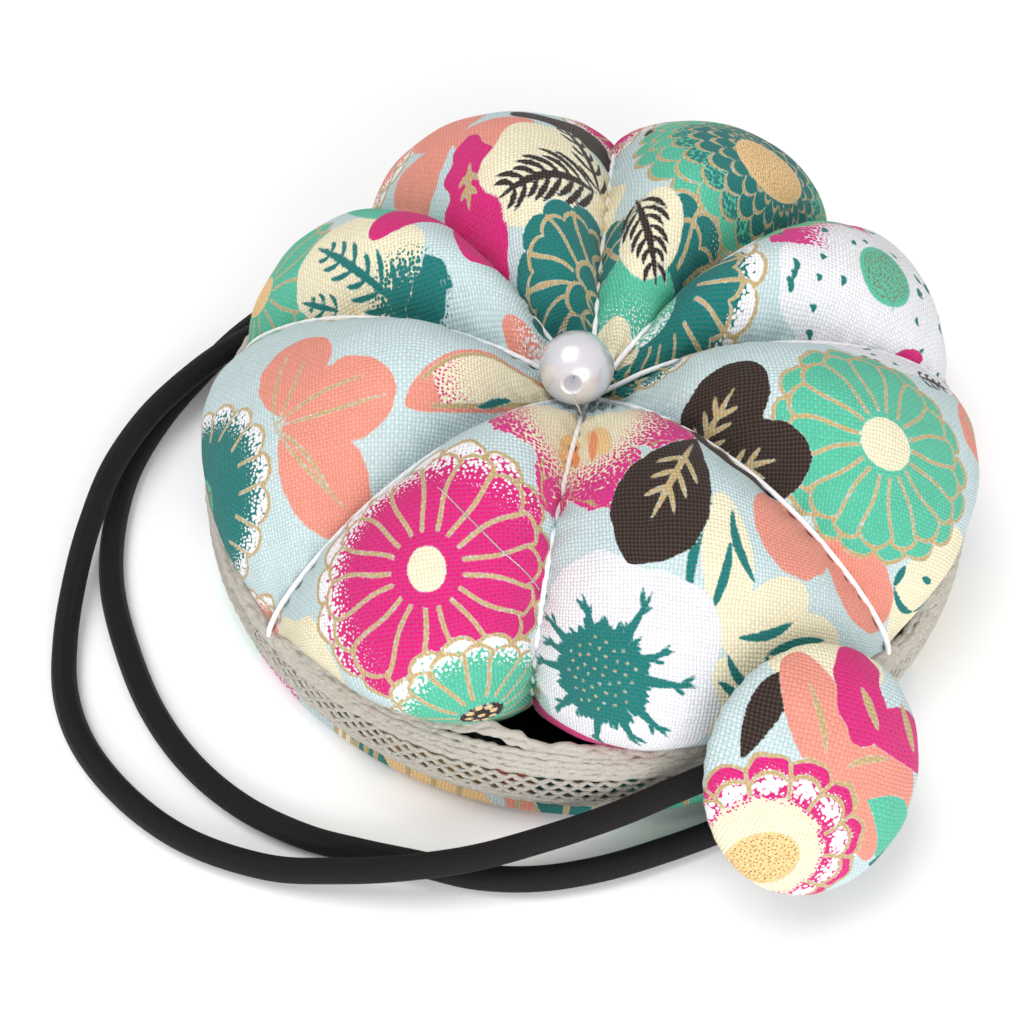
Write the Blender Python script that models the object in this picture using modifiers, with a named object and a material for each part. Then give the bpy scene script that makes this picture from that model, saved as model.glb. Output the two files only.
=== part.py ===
"""A wrist pin cushion: a stuffed cloth pumpkin of eight lobes in a shallow cloth-covered cup.

The lobes are pulled in by eight threads that meet under a pearl. A crochet lace band runs round
the rim. A round elastic loop leaves the back of the cup and hooks round the shank of a
cloth-covered button, which hangs on its stitches at the front.
Metres, +Z up. The origin is the centre of the underside. The front, with the button, is at -Y.
"""

import math

import bmesh
import bpy
import numpy as np
from mathutils import Matrix, Vector

MM = 0.001
GAP = 0.3 * MM

# Cup and its covering, radii and heights.
DISC_RADIUS = 36.4 * MM
DISC_THICKNESS = 0.5 * MM
COVER_RADIUS = 38.0 * MM
CLOTH_THICKNESS = 0.4 * MM
COVER_BOTTOM = DISC_THICKNESS + GAP
COVER_TOP = 8.7 * MM
TURNED_UNDER_TO = 31.0 * MM
CUP_RADIUS = COVER_RADIUS - CLOTH_THICKNESS - GAP
CUP_WALL = 1.2 * MM
CUP_BOTTOM = COVER_BOTTOM + CLOTH_THICKNESS + GAP
CUP_FLOOR = CUP_BOTTOM + CUP_WALL
CUP_TOP = 9.3 * MM
LACE_THICKNESS = 0.6 * MM
LACE_BOTTOM = 3.4 * MM
LACE_TOP = 9.9 * MM
LACE_WAVE = 0.5 * MM
LACE_SCALLOPS = 24
GLUE_RADIUS = 24.0 * MM
GLUE_TOP = 3.75 * MM

# Cushion: where the threads lie, and the outline of a valley and of a lobe's crest, from the
# pit under the pearl over the top and down to the hole at the bottom, as (radius, height).
VALLEY_AZIMUTHS = [-100.7, -43.0, 7.0, 43.5, 84.0, 129.0, 164.0, 217.0]
VALLEY_OUTLINE = [
    (1.6, 16.1), (3.4, 17.1), (6.0, 18.6), (10.0, 20.0), (15.0, 20.8), (20.0, 20.6),
    (25.0, 19.1), (29.2, 16.4), (32.0, 13.0), (32.6, 9.8), (31.2, 7.4), (27.5, 6.1),
    (20.0, 5.8), (12.0, 5.8), (4.5, 5.8),
]
CREST_OUTLINE = [
    (1.8, 16.4), (3.8, 18.2), (6.8, 21.2), (10.6, 24.8), (15.6, 27.1), (21.0, 27.5),
    (27.0, 25.2), (32.4, 21.0), (36.2, 16.6), (36.9, 12.3), (34.4, 8.6), (29.5, 6.6),
    (21.5, 5.8), (13.0, 5.8), (4.5, 5.8),
]
FRONT_VALLEY_PINCH = 1.5

# How far the outer part of each lobe and valley stands out and up past those outlines, in mm, and
# how much of that each outline point takes. The cushion leans back: it stands out most at +Y.
LOBE_REACH = [1.8, 0.8, 1.4, 3.0, 3.0, 0.2, 1.2, 0.6]
LOBE_RISE = [-0.8, 0.0, 0.8, 2.0, 2.0, 0.0, 0.0, -0.3]
VALLEY_REACH = [0.0, 0.5, 0.8, 2.6, 3.4, 1.0, 0.6, 0.5]
VALLEY_RISE = [0.0, 0.0, 0.5, 1.6, 2.2, 0.8, 0.0, 0.0]
OUTER_SHARE = [0, 0, 0, 0, 0.1, 0.35, 0.65, 0.9, 1.0, 0.85, 0.05, 0, 0, 0, 0]

LOBE_COLUMNS = (0.0, 0.07, 0.17, 0.32, 0.5, 0.68, 0.83, 0.93)
VALLEY_FLOOR = 0.2
LOBE_ROUNDNESS = 0.62
COVER_THICKNESS = 0.5 * MM
FILLING_CORE = (20.0 * MM, 13.5 * MM)
FILLING_SHARE = 0.76
LOBE_THREAD = 0.7 * MM
LOBE_THREAD_LIFT = 1.3 * MM
LOBE_THREAD_STEP = 2.4 * MM
THREAD_START = 6.2 * MM
THREAD_END = 6.4 * MM
CENTRE_THREAD = 2.0 * MM
GATHER_RADIUS = 5.2 * MM

# Pearl, its bore along the direction that faces the front, and the nylon through it.
PEARL_CENTRE = Vector((-1.4, -1.6, 22.3)) * MM
PEARL_RADIUS = 3.6 * MM
BORE_RADIUS = 0.85 * MM
BORE_AZIMUTH = -99.8
BORE_ELEVATION = 22.0
FILAMENT = 0.4 * MM
FILAMENT_TO_FRONT_HOLE = [
    (-0.6, -2.2, 18.0), (-0.8, -3.9, 18.5), (-0.95, -5.4, 20.0), (-1.25, -6.1, 21.6),
    (-1.9, -5.9, 23.4),
]
FILAMENT_FROM_BACK_HOLE = [(-0.7, 2.7, 20.4), (-0.5, 2.7, 19.3), (-0.3, 1.6, 18.7)]
KNOT_CENTRE = Vector((-0.1, -0.2, 17.4)) * MM
KNOT_RADIUS = 0.8 * MM

# Elastic: a round cord whose two ends sit in the back of the cup.
ELASTIC = 2.5 * MM
ELASTIC_STEP = 4.0 * MM
ELASTIC_ROUTE = [
    (-26.3, 18.8, 4.4), (-30.3, 19.8, 4.5), (-34.2, 19.5, 4.4), (-38.0, 17.2, 4.2),
    (-42.0, 13.3, 4.1), (-46.2, 7.5, 4.1), (-49.2, 0.6, 4.1), (-50.7, -6.5, 3.8),
    (-51.6, -12.5, 2.7), (-51.9, -19.0, 1.6), (-51.0, -25.5, 1.35), (-48.3, -31.4, 1.3),
    (-43.4, -37.0, 1.3), (-37.4, -41.2, 1.3), (-30.0, -43.9, 1.6), (-23.5, -44.9, 2.9),
    (-17.5, -45.2, 4.1), (-11.0, -44.4, 4.5), (-4.5, -42.8, 5.2), (1.6, -41.2, 6.5),
    (6.6, -40.0, 8.7), (10.6, -39.1, 10.7), (14.1, -37.8, 12.0), (17.5, -36.1, 12.2),
    (20.9, -34.6, 11.0), (23.1, -33.3, 8.6), (23.9, -32.7, 6.3), (23.1, -33.4, 4.1),
    (20.6, -35.1, 2.3), (17.2, -37.2, 1.5), (12.0, -39.8, 1.3), (6.5, -42.0, 1.3),
    (0.6, -43.9, 1.3), (-5.3, -44.9, 1.3), (-10.9, -44.7, 1.3), (-16.1, -43.4, 1.3),
    (-21.4, -42.2, 1.3), (-26.9, -40.6, 1.3), (-32.9, -37.5, 1.3), (-38.2, -32.9, 1.3),
    (-42.5, -27.0, 1.3), (-45.8, -19.9, 1.3), (-48.1, -12.7, 1.3), (-48.8, -5.5, 1.3),
    (-48.0, 2.2, 1.3), (-45.3, 9.6, 1.3), (-41.5, 16.0, 1.5), (-37.6, 20.3, 2.6),
    (-33.6, 22.6, 3.9), (-29.5, 22.7, 4.4), (-25.5, 21.6, 4.4),
]
ELASTIC_SLOT_CENTRE = Vector((-33.0, 21.1, 4.4)) * MM
ELASTIC_SLOT_SIZE = Vector((16.0, 8.4, 3.6)) * MM
ELASTIC_SLOT_TURN = 170.0
ELASTIC_KNOT_CENTRE = Vector((-22.6, 19.4, 4.3)) * MM
ELASTIC_KNOT_SIZE = Vector((2.2, 3.2, 1.15)) * MM

# Button: the centre of its rim, the way it faces, and where its stitches leave the wall.
BUTTON_CENTRE = Vector((19.1, -40.3, 13.2)) * MM
BUTTON_AZIMUTH = -54.0
BUTTON_ELEVATION = 41.0
BUTTON_RADIUS = 11.2 * MM
BUTTON_CLOTH = 0.4 * MM
STITCH_AZIMUTH = -65.5
STITCH_HEIGHT = 7.2 * MM
STITCH_THREAD = 0.7 * MM
STITCH_HALF_WIDTH = 1.5 * MM
SHANK_WIRE = 0.8 * MM
SHANK_RADIUS = 1.15 * MM

COLLECTION = "wrist_pin_cushion"


def start_empty():
    """Clear the scene and make the two collections."""
    for old in list(bpy.data.objects):
        bpy.data.objects.remove(old)
    for name in (COLLECTION, "cutters"):
        collection = bpy.data.collections.new(name)
        bpy.context.scene.collection.children.link(collection)


def material(name, colour, roughness, metallic=0.0):
    """A Principled material of one colour."""
    made = bpy.data.materials.new(name)
    made.use_nodes = True
    shader = made.node_tree.nodes["Principled BSDF"]
    shader.inputs["Base Color"].default_value = (*colour, 1.0)
    shader.inputs["Roughness"].default_value = roughness
    shader.inputs["Metallic"].default_value = metallic
    return made


def place(name, data, finish=None, collection=COLLECTION):
    """Put mesh or curve data into the scene as a named object."""
    made = bpy.data.objects.new(name, data)
    bpy.data.collections[collection].objects.link(made)
    if finish:
        data.materials.append(finish)
    return made


def mesh_of(name, bm):
    """Turn a bmesh into smooth-shaded mesh data with outward faces."""
    bmesh.ops.recalc_face_normals(bm, faces=bm.faces)
    data = bpy.data.meshes.new(name)
    bm.to_mesh(data)
    bm.free()
    data.shade_smooth()
    data.set_sharp_from_angle(angle=math.radians(40))
    return data


def turned(name, outline, finish, steps=48):
    """Turn an outline of (radius, height), outer side running down, round the Z axis."""
    closed = min(radius for radius, _ in outline) > 1e-6
    data = bpy.data.meshes.new(name)
    count = len(outline)
    edges = [(k, (k + 1) % count) for k in range(count if closed else count - 1)]
    data.from_pydata([(radius, 0.0, height) for radius, height in outline], edges, [])
    made = place(name, data, finish)
    screw = made.modifiers.new("turn", "SCREW")
    screw.steps = steps
    screw.render_steps = steps
    screw.use_merge_vertices = True
    screw.merge_threshold = 0.00001
    return made


def tube(name, points, diameter, finish, around=2):
    """A capped round tube along points."""
    data = bpy.data.curves.new(name, "CURVE")
    data.dimensions = "3D"
    data.bevel_depth = diameter / 2
    data.bevel_resolution = around
    data.use_fill_caps = True
    spline = data.splines.new("POLY")
    spline.points.add(len(points) - 1)
    for point, place_at in zip(spline.points, points):
        point.co = (*place_at, 1.0)
    return place(name, data, finish)


def smooth_route(points, step):
    """Read a Catmull-Rom curve through points at even steps along its length."""
    known = np.array(points, float)
    known = np.vstack([2 * known[0] - known[1], known, 2 * known[-1] - known[-2]])
    fine = []
    for k in range(1, len(known) - 2):
        before, here, there, after = known[k - 1 : k + 3]
        t = np.linspace(0.0, 1.0, 24, endpoint=False)[:, None]
        fine.append(
            0.5 * (2 * here + (there - before) * t
                   + (2 * before - 5 * here + 4 * there - after) * t**2
                   + (3 * here - before - 3 * there + after) * t**3)
        )
    fine = np.vstack(fine + [known[-2][None]])
    along = np.concatenate([[0.0], np.cumsum(np.linalg.norm(np.diff(fine, axis=0), axis=1))])
    wanted = np.linspace(0.0, along[-1], round(along[-1] / step) + 1)
    return np.column_stack([np.interp(wanted, along, fine[:, axis]) for axis in range(3)])


def direction(azimuth, elevation):
    """The unit vector at an azimuth from +X and an elevation above the table, in degrees."""
    a, e = math.radians(azimuth), math.radians(elevation)
    return Vector((math.cos(e) * math.cos(a), math.cos(e) * math.sin(a), math.sin(e)))


def facing(centre, axis):
    """The matrix that stands a part's own +Z along axis, at centre."""
    turn = axis.to_track_quat("Z", "Y").to_matrix().to_4x4()
    return Matrix.Translation(centre) @ turn


def cut(target, cutter):
    """Take the cutter's shape out of the target."""
    modifier = target.modifiers.new("cut_" + cutter.name, "BOOLEAN")
    modifier.operation = "DIFFERENCE"
    modifier.object = cutter


def make_cutter(name, size, matrix):
    """A hidden box of a size, placed by a matrix."""
    bm = bmesh.new()
    bmesh.ops.create_cube(bm, size=1.0)
    bmesh.ops.scale(bm, vec=size, verts=bm.verts)
    made = place(name, mesh_of(name, bm), collection="cutters")
    made.matrix_world = matrix
    made.hide_render = True
    made.display_type = "WIRE"
    return made


# Cushion


def valley_depth(index):
    """How deep a valley is pulled in: the one at the front is pulled in most."""
    return FRONT_VALLEY_PINCH if index == 0 else 1.0


def spread(outline, reach, rise):
    """An outline in metres, with its outer part moved out and up."""
    return (np.array(outline) + np.outer(OUTER_SHARE, (reach, rise))) * MM


def valley_outline(index):
    """The (radius, height) outline along one valley, in metres."""
    index %= len(VALLEY_AZIMUTHS)
    valley = spread(VALLEY_OUTLINE, VALLEY_REACH[index], VALLEY_RISE[index])
    crest = spread(CREST_OUTLINE, 0.0, 0.0)
    deep = crest + (valley - crest) * valley_depth(index)
    outer = np.clip((valley[:, 0] / MM - 24.0) / 8.0, 0.0, 1.0)[:, None]
    return valley * (1 - outer) + deep * outer


def cushion_rings():
    """Rings of points from the pit to the bottom hole: each lobe swells between two valleys."""
    count = len(VALLEY_AZIMUTHS)
    columns = []
    for lobe in range(count):
        start = VALLEY_AZIMUTHS[lobe]
        end = VALLEY_AZIMUTHS[(lobe + 1) % count] + (360.0 if lobe == count - 1 else 0.0)
        crest = spread(CREST_OUTLINE, LOBE_REACH[lobe], LOBE_RISE[lobe])
        for t in LOBE_COLUMNS:
            rise = max(0.0, math.sin(math.pi * t) - VALLEY_FLOOR) / (1.0 - VALLEY_FLOOR)
            swell = rise**LOBE_ROUNDNESS
            valley = valley_outline(lobe) * (1 - t) + valley_outline(lobe + 1) * t
            outline = valley + (crest - valley) * swell
            azimuth = math.radians(start + (end - start) * t)
            columns.append(
                np.column_stack([outline[:, 0] * math.cos(azimuth),
                                 outline[:, 0] * math.sin(azimuth), outline[:, 1]])
            )
    return np.array(columns).transpose(1, 0, 2)


def loft(rings, ring_shaped):
    """A bmesh skin over rings of points: joined end to end, or closed by a fan at the top."""
    bm = bmesh.new()
    loops = [[bm.verts.new(point) for point in ring] for ring in rings]
    around = len(loops[0])
    lower_loops = loops[1:] + (loops[:1] if ring_shaped else [])
    for upper, lower in zip(loops, lower_loops):
        for k in range(around):
            n = (k + 1) % around
            bm.faces.new((upper[k], lower[k], lower[n], upper[n]))
    if not ring_shaped:
        middle = bm.verts.new(np.mean(rings[0], axis=0))
        for k in range(around):
            bm.faces.new((middle, loops[0][k], loops[0][(k + 1) % around]))
    return bm


def drawn_in(rings):
    """The rings moved towards a circle in the middle of the stuffing, all round."""
    radius = np.linalg.norm(rings[..., :2], axis=-1, keepdims=True)
    core = np.concatenate([rings[..., :2] / radius * FILLING_CORE[0],
                           np.full_like(radius, FILLING_CORE[1])], axis=-1)
    return core + (rings - core) * FILLING_SHARE


def make_cushion(cloth, fibre, thread):
    """The cover, the ring of stuffing in it, the gathering thread and the thread up the middle."""
    rings = cushion_rings()
    cover = place("cushion_cover", mesh_of("cushion_cover", loft(rings, False)), cloth)
    wall = cover.modifiers.new("cloth", "SOLIDIFY")
    wall.thickness = COVER_THICKNESS
    wall.offset = -1.0
    place("cushion_filling", mesh_of("cushion_filling", loft(drawn_in(rings), True)), fibre)

    bottom = CREST_OUTLINE[-1][1] * MM - GAP - LOBE_THREAD / 2
    pit = VALLEY_OUTLINE[0][1] * MM - COVER_THICKNESS - GAP
    tube("centre_thread", [(0.0, 0.0, bottom), (0.0, 0.0, pit)], CENTRE_THREAD, thread)
    bpy.ops.mesh.primitive_torus_add(
        major_radius=GATHER_RADIUS, minor_radius=LOBE_THREAD / 2,
        major_segments=24, minor_segments=8, location=(0.0, 0.0, bottom),
    )
    adopt("gathering_thread", thread)


def adopt(name, finish):
    """Name the object that an operator just made, and move it into the part's collection."""
    made = bpy.context.object
    made.name = name
    made.data.name = name
    made.data.materials.append(finish)
    made.data.shade_smooth()
    for owner in list(made.users_collection):
        owner.objects.unlink(made)
    bpy.data.collections[COLLECTION].objects.link(made)
    return made


def make_lobe_threads(thread):
    """One thread in each valley, from the pit over the edge and in under the bottom."""
    for index, azimuth in enumerate(VALLEY_AZIMUTHS):
        outline = valley_outline(index)
        slope = np.gradient(outline, axis=0)
        outward = np.column_stack([-slope[:, 1], slope[:, 0]])
        outward /= np.linalg.norm(outward, axis=1)[:, None]
        path = outline + outward * LOBE_THREAD_LIFT
        path = smooth_route(np.column_stack([path, path[:, 0]]), LOBE_THREAD_STEP)[:, :2]
        on_top = path[:, 1] > VALLEY_OUTLINE[0][1] * MM
        path = path[path[:, 0] > np.where(on_top, THREAD_START, THREAD_END)]
        radii, heights = path.T
        a = math.radians(azimuth)
        points = np.column_stack([radii * math.cos(a), radii * math.sin(a), heights])
        tube(f"lobe_thread_{index + 1}", points, LOBE_THREAD, thread)


# Pearl


def make_pearl(pearl, nylon, thread):
    """The bored pearl, the nylon through its bore and the knot in the pit."""
    axis = direction(BORE_AZIMUTH, BORE_ELEVATION)
    half = math.acos(BORE_RADIUS / PEARL_RADIUS)
    angles = np.linspace(half, -half, 13)
    outline = [(PEARL_RADIUS * math.cos(a), PEARL_RADIUS * math.sin(a)) for a in angles]
    bead = turned("pearl_bead", outline, pearl, steps=24)
    bead.matrix_world = facing(PEARL_CENTRE, axis)

    inside = [PEARL_CENTRE + axis * PEARL_RADIUS * part for part in (1.0, 0.5, 0.0, -0.5, -1.0)]
    route = [Vector(point) * MM for point in FILAMENT_TO_FRONT_HOLE] + inside
    route += [Vector(point) * MM for point in FILAMENT_FROM_BACK_HOLE]
    tube("bead_filament", smooth_route(route, 0.9 * MM), FILAMENT, nylon)

    bm = bmesh.new()
    bmesh.ops.create_icosphere(bm, subdivisions=2, radius=KNOT_RADIUS)
    bmesh.ops.scale(bm, vec=(1.0, 1.0, 0.7), verts=bm.verts)
    knot = place("pit_knot", mesh_of("pit_knot", bm), thread)
    knot.location = KNOT_CENTRE


# Cup, its covering, the lace and the underside


def make_base(plastic, cloth, felt, lace, glue):
    """The cup, the cloth over it, the disc under it, the lace round it and the glue in it."""
    turned("underside_disc", [
        (0.0, DISC_THICKNESS), (DISC_RADIUS, DISC_THICKNESS), (DISC_RADIUS, 0.0), (0.0, 0.0),
    ], felt)
    corner = 0.8 * MM
    inner = COVER_RADIUS - CLOTH_THICKNESS
    under_top = COVER_BOTTOM + CLOTH_THICKNESS
    cover = turned("base_cover", [
        (COVER_RADIUS, COVER_TOP), (COVER_RADIUS, COVER_BOTTOM + corner),
        (COVER_RADIUS - 0.3 * corner, COVER_BOTTOM + 0.3 * corner),
        (COVER_RADIUS - corner, COVER_BOTTOM), (TURNED_UNDER_TO, COVER_BOTTOM),
        (TURNED_UNDER_TO, under_top), (inner - 0.5 * corner, under_top),
        (inner, under_top + 0.5 * corner), (inner, COVER_TOP),
    ], cloth)
    cup_inner = CUP_RADIUS - CUP_WALL
    cup = turned("base_cup", [
        (0.0, CUP_FLOOR), (cup_inner - corner, CUP_FLOOR), (cup_inner, CUP_FLOOR + corner),
        (cup_inner, CUP_TOP), (CUP_RADIUS, CUP_TOP), (CUP_RADIUS, CUP_BOTTOM + corner),
        (CUP_RADIUS - corner, CUP_BOTTOM), (0.0, CUP_BOTTOM),
    ], plastic)
    turned("glue_bed", [
        (0.0, GLUE_TOP), (GLUE_RADIUS - corner, GLUE_TOP), (GLUE_RADIUS, GLUE_TOP - corner / 2),
        (GLUE_RADIUS, CUP_FLOOR + GAP), (0.0, CUP_FLOOR + GAP),
    ], glue)
    band = make_lace(lace)
    turn = Matrix.Rotation(math.radians(ELASTIC_SLOT_TURN), 4, "Z")
    slot = make_cutter("elastic_slot", ELASTIC_SLOT_SIZE,
                       Matrix.Translation(ELASTIC_SLOT_CENTRE) @ turn)
    for piece in (cup, cover, band):
        cut(piece, slot)


def make_lace(lace):
    """A band whose upper edge rises and falls in scallops."""
    around = LACE_SCALLOPS * 4
    inner = COVER_RADIUS + GAP
    outer = inner + LACE_THICKNESS
    rings = []
    for radius, level in ((outer, 1), (outer, 0), (inner, 0), (inner, 1)):
        ring = []
        for k in range(around):
            a = 2 * math.pi * k / around
            top = LACE_TOP + LACE_WAVE * math.cos(LACE_SCALLOPS * a)
            ring.append((radius * math.cos(a), radius * math.sin(a),
                         top if level else LACE_BOTTOM))
        rings.append(ring)
    bm = bmesh.new()
    loops = [[bm.verts.new(point) for point in ring] for ring in rings]
    for here, there in zip(loops, loops[1:] + loops[:1]):
        for k in range(around):
            n = (k + 1) % around
            bm.faces.new((here[k], there[k], there[n], here[n]))
    return place("lace_trim", mesh_of("lace_trim", bm), lace)


# Elastic


def make_elastic(elastic):
    """The whole loop in one cord, and the knot inside the cup that holds its two ends."""
    points = smooth_route(np.array(ELASTIC_ROUTE) * MM, ELASTIC_STEP)
    tube("elastic_loop", points, ELASTIC, elastic)
    bm = bmesh.new()
    bmesh.ops.create_icosphere(bm, subdivisions=2, radius=1.0)
    bmesh.ops.scale(bm, vec=ELASTIC_KNOT_SIZE, verts=bm.verts)
    knot = place("elastic_knot", mesh_of("elastic_knot", bm), elastic)
    knot.location = ELASTIC_KNOT_CENTRE
    knot.rotation_euler.z = math.radians(ELASTIC_SLOT_TURN - 180.0)


# Button


def empty_at(name, location):
    """An empty that marks a joint's axis."""
    made = bpy.data.objects.new(name, None)
    bpy.data.collections[COLLECTION].objects.link(made)
    made.location = location
    return made


def hold(child, pivot):
    """Parent a placed object to a pivot without moving it."""
    bpy.context.view_layer.update()
    child.parent = pivot
    child.matrix_parent_inverse = pivot.matrix_world.inverted()


def make_button(cloth, metal, plastic, thread):
    """The covered button, its shank eye, and the stitches that hold it to the wall."""
    axis = direction(BUTTON_AZIMUTH, BUTTON_ELEVATION)
    stand = facing(BUTTON_CENTRE, axis)
    rim = BUTTON_RADIUS
    cloth_in = BUTTON_CLOTH
    shell_out = rim - cloth_in - 2 * GAP
    dome = 4.2 * MM
    cover = turned("button_cloth", [
        (0.0, dome), (0.38 * rim, 0.91 * dome), (0.68 * rim, 0.66 * dome), (0.88 * rim, 0.34 * dome),
        (rim, -0.1 * dome), (0.98 * rim, -0.3 * dome), (0.9 * rim, -0.4 * dome),
        (0.84 * rim, -0.4 * dome), (0.84 * rim, -0.4 * dome + cloth_in),
        (0.89 * rim, -0.4 * dome + cloth_in), (rim - cloth_in, -0.22 * dome),
        (rim - cloth_in, -0.1 * dome), (0.86 * rim, 0.28 * dome), (0.66 * rim, 0.56 * dome),
        (0.37 * rim, 0.8 * dome), (0.0, dome - cloth_in),
    ], cloth, steps=32)
    shell = turned("button_shell", [
        (0.0, 0.8 * dome), (0.36 * rim, 0.7 * dome), (0.62 * rim, 0.48 * dome),
        (0.83 * rim, 0.19 * dome), (shell_out, -0.12 * dome), (shell_out, -0.2 * dome),
        (0.87 * rim, -0.2 * dome), (0.87 * rim, -0.08 * dome), (0.8 * rim, 0.06 * dome),
        (0.58 * rim, 0.34 * dome), (0.33 * rim, 0.56 * dome), (0.0, 0.65 * dome),
    ], metal, steps=32)
    back = turned("button_back", [
        (0.0, 0.2 * MM), (0.74 * rim, 0.2 * MM), (0.76 * rim, 0.0), (0.76 * rim, -0.6 * MM),
        (0.0, -0.6 * MM),
    ], plastic, steps=32)
    shank = make_shank(metal)
    stitch_end = make_stitches(axis, thread)
    tilt = empty_at("button_tilt_axis", stitch_end)
    spin = empty_at("button_spin_axis", BUTTON_CENTRE)
    for piece in (cover, shell, back, shank):
        piece.matrix_world = stand
        hold(piece, spin)
    hold(bpy.data.objects["button_stitches"], tilt)
    hold(spin, tilt)


def make_shank(metal):
    """The wire eye on the back: two legs and a half turn, in the part's own Y-Z plane."""
    leg_top = -0.9 * MM
    bend = -1.6 * MM
    points = [(0.0, SHANK_RADIUS, leg_top)]
    for k in range(9):
        a = math.pi * k / 8
        points.append((0.0, SHANK_RADIUS * math.cos(a), bend - SHANK_RADIUS * math.sin(a)))
    points.append((0.0, -SHANK_RADIUS, leg_top))
    return tube("button_shank", points, SHANK_WIRE, metal)


def make_stitches(axis, thread):
    """A thread loop from the wall through the shank's eye and back, and the knot inside."""
    radial = direction(STITCH_AZIMUTH, 0.0)
    lace_face = COVER_RADIUS + GAP + LACE_THICKNESS + 2 * GAP + STITCH_THREAD / 2
    leave = radial * lace_face + Vector((0.0, 0.0, STITCH_HEIGHT))
    eye = BUTTON_CENTRE - axis * 1.7 * MM
    side = facing(BUTTON_CENTRE, axis).to_3x3() @ Vector((1.0, 0.0, 0.0))
    back = (leave - eye).normalized()
    start = [leave + side * STITCH_HALF_WIDTH, eye + back * 2.4 * MM + side * STITCH_HALF_WIDTH]
    turn = []
    for k in range(9):
        a = math.pi * k / 8
        depth = STITCH_HALF_WIDTH * (1 - math.sin(a)) - 0.05 * MM
        turn.append(eye + back * depth + side * STITCH_HALF_WIDTH * math.cos(a))
    finish = [eye + back * 2.4 * MM - side * STITCH_HALF_WIDTH, leave - side * STITCH_HALF_WIDTH]
    tube("button_stitches", start + turn + finish, STITCH_THREAD, thread)

    bm = bmesh.new()
    bmesh.ops.create_icosphere(bm, subdivisions=2, radius=0.8 * MM)
    knot = place("stitch_knot", mesh_of("stitch_knot", bm), thread)
    knot.location = radial * (CUP_RADIUS - CUP_WALL - 1.3 * MM) + Vector((0.0, 0.0, STITCH_HEIGHT))
    return leave


def main():
    start_empty()
    cloth = material("printed_cotton", (0.60, 0.74, 0.74), 0.85)
    fibre = material("polyester_fibre", (0.9, 0.9, 0.88), 0.95)
    thread = material("white_thread", (0.86, 0.85, 0.86), 0.6)
    pearl = material("pearl", (0.80, 0.77, 0.82), 0.2)
    nylon = material("clear_nylon", (0.85, 0.87, 0.88), 0.15)
    plastic = material("black_plastic", (0.02, 0.02, 0.02), 0.3)
    felt = material("felt", (0.05, 0.05, 0.05), 0.95)
    lace = material("crochet_lace", (0.76, 0.70, 0.60), 0.9)
    glue = material("hot_glue", (0.75, 0.73, 0.66), 0.25)
    elastic = material("black_elastic", (0.015, 0.014, 0.014), 0.75)
    metal = material("shank_metal", (0.72, 0.72, 0.72), 0.3, 1.0)
    make_base(plastic, cloth, felt, lace, glue)
    make_cushion(cloth, fibre, thread)
    make_lobe_threads(thread)
    make_pearl(pearl, nylon, thread)
    make_elastic(elastic)
    make_button(cloth, metal, plastic, thread)


main()
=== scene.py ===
# %% [markdown]
# # A wrist pin cushion
#
# The object is a small stuffed pumpkin of printed cotton. It is glued into a shallow cup, trimmed
# with crochet lace, and worn on the wrist by a black elastic that hooks behind a covered button.
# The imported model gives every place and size. This file gives the looks, one piece at a time.

import math

import bpy
import numpy as np
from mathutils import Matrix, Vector


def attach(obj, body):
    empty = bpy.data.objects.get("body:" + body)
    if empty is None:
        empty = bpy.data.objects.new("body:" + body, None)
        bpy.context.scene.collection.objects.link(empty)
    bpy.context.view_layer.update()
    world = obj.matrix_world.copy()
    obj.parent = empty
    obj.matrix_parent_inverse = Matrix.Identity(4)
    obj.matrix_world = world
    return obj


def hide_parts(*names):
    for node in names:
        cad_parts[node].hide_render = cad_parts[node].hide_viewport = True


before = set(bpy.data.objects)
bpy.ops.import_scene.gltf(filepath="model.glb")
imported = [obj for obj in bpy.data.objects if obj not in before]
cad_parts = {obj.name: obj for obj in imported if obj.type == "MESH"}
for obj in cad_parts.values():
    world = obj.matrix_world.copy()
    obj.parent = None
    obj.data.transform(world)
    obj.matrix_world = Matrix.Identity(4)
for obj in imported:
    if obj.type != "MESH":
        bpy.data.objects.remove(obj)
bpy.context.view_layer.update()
MM = 0.001
scene = bpy.context.scene

# %% [markdown]
# ## Camera
#
# The eye is close, about 19 cm from the cushion, and looks down on it from a little over fifty
# degrees. That is why the near lobes look larger than the far ones.

# %% Place the camera
EYE = Vector((-7.6, -121.57, 161.18)) * MM
LOOK_DOWN = 53.5
camera_data = bpy.data.cameras.new("camera")
camera_data.lens = 67.08
camera_data.sensor_width = 36.0
camera_data.clip_start = 0.01
camera = bpy.data.objects.new("camera", camera_data)
scene.collection.objects.link(camera)
camera.location = EYE
camera.rotation_euler = (math.radians(90.0 - LOOK_DOWN), 0.0, 0.0)
scene.camera = camera
print("camera at", [round(value, 3) for value in EYE])

# %% [markdown]
# ## Curves and skins
#
# Almost every piece here is a grid of points: one direction runs along the piece, the other round
# it. A few helpers are enough: they read a smooth curve through chosen points, measure along it,
# make the rings of a tube, and turn a grid into a mesh. All of them work on whole arrays, in
# millimetres.


# %% Read curves
def through(points, at):
    """Catmull-Rom cubic through points, read at places counted in points from the first."""
    points = np.asarray(points, float)
    known = np.vstack([2 * points[0] - points[1], points, 2 * points[-1] - points[-2]])
    k = np.clip(np.floor(at).astype(int), 0, len(points) - 2)
    t = (np.asarray(at) - k)[..., None]
    a, b, c, d = (known[k + n] for n in range(4))
    cubic = 3 * b - a - 3 * c + d
    return 0.5 * (2 * b + (c - a) * t + (2 * a - 5 * b + 4 * c - d) * t**2 + cubic * t**3)


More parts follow.
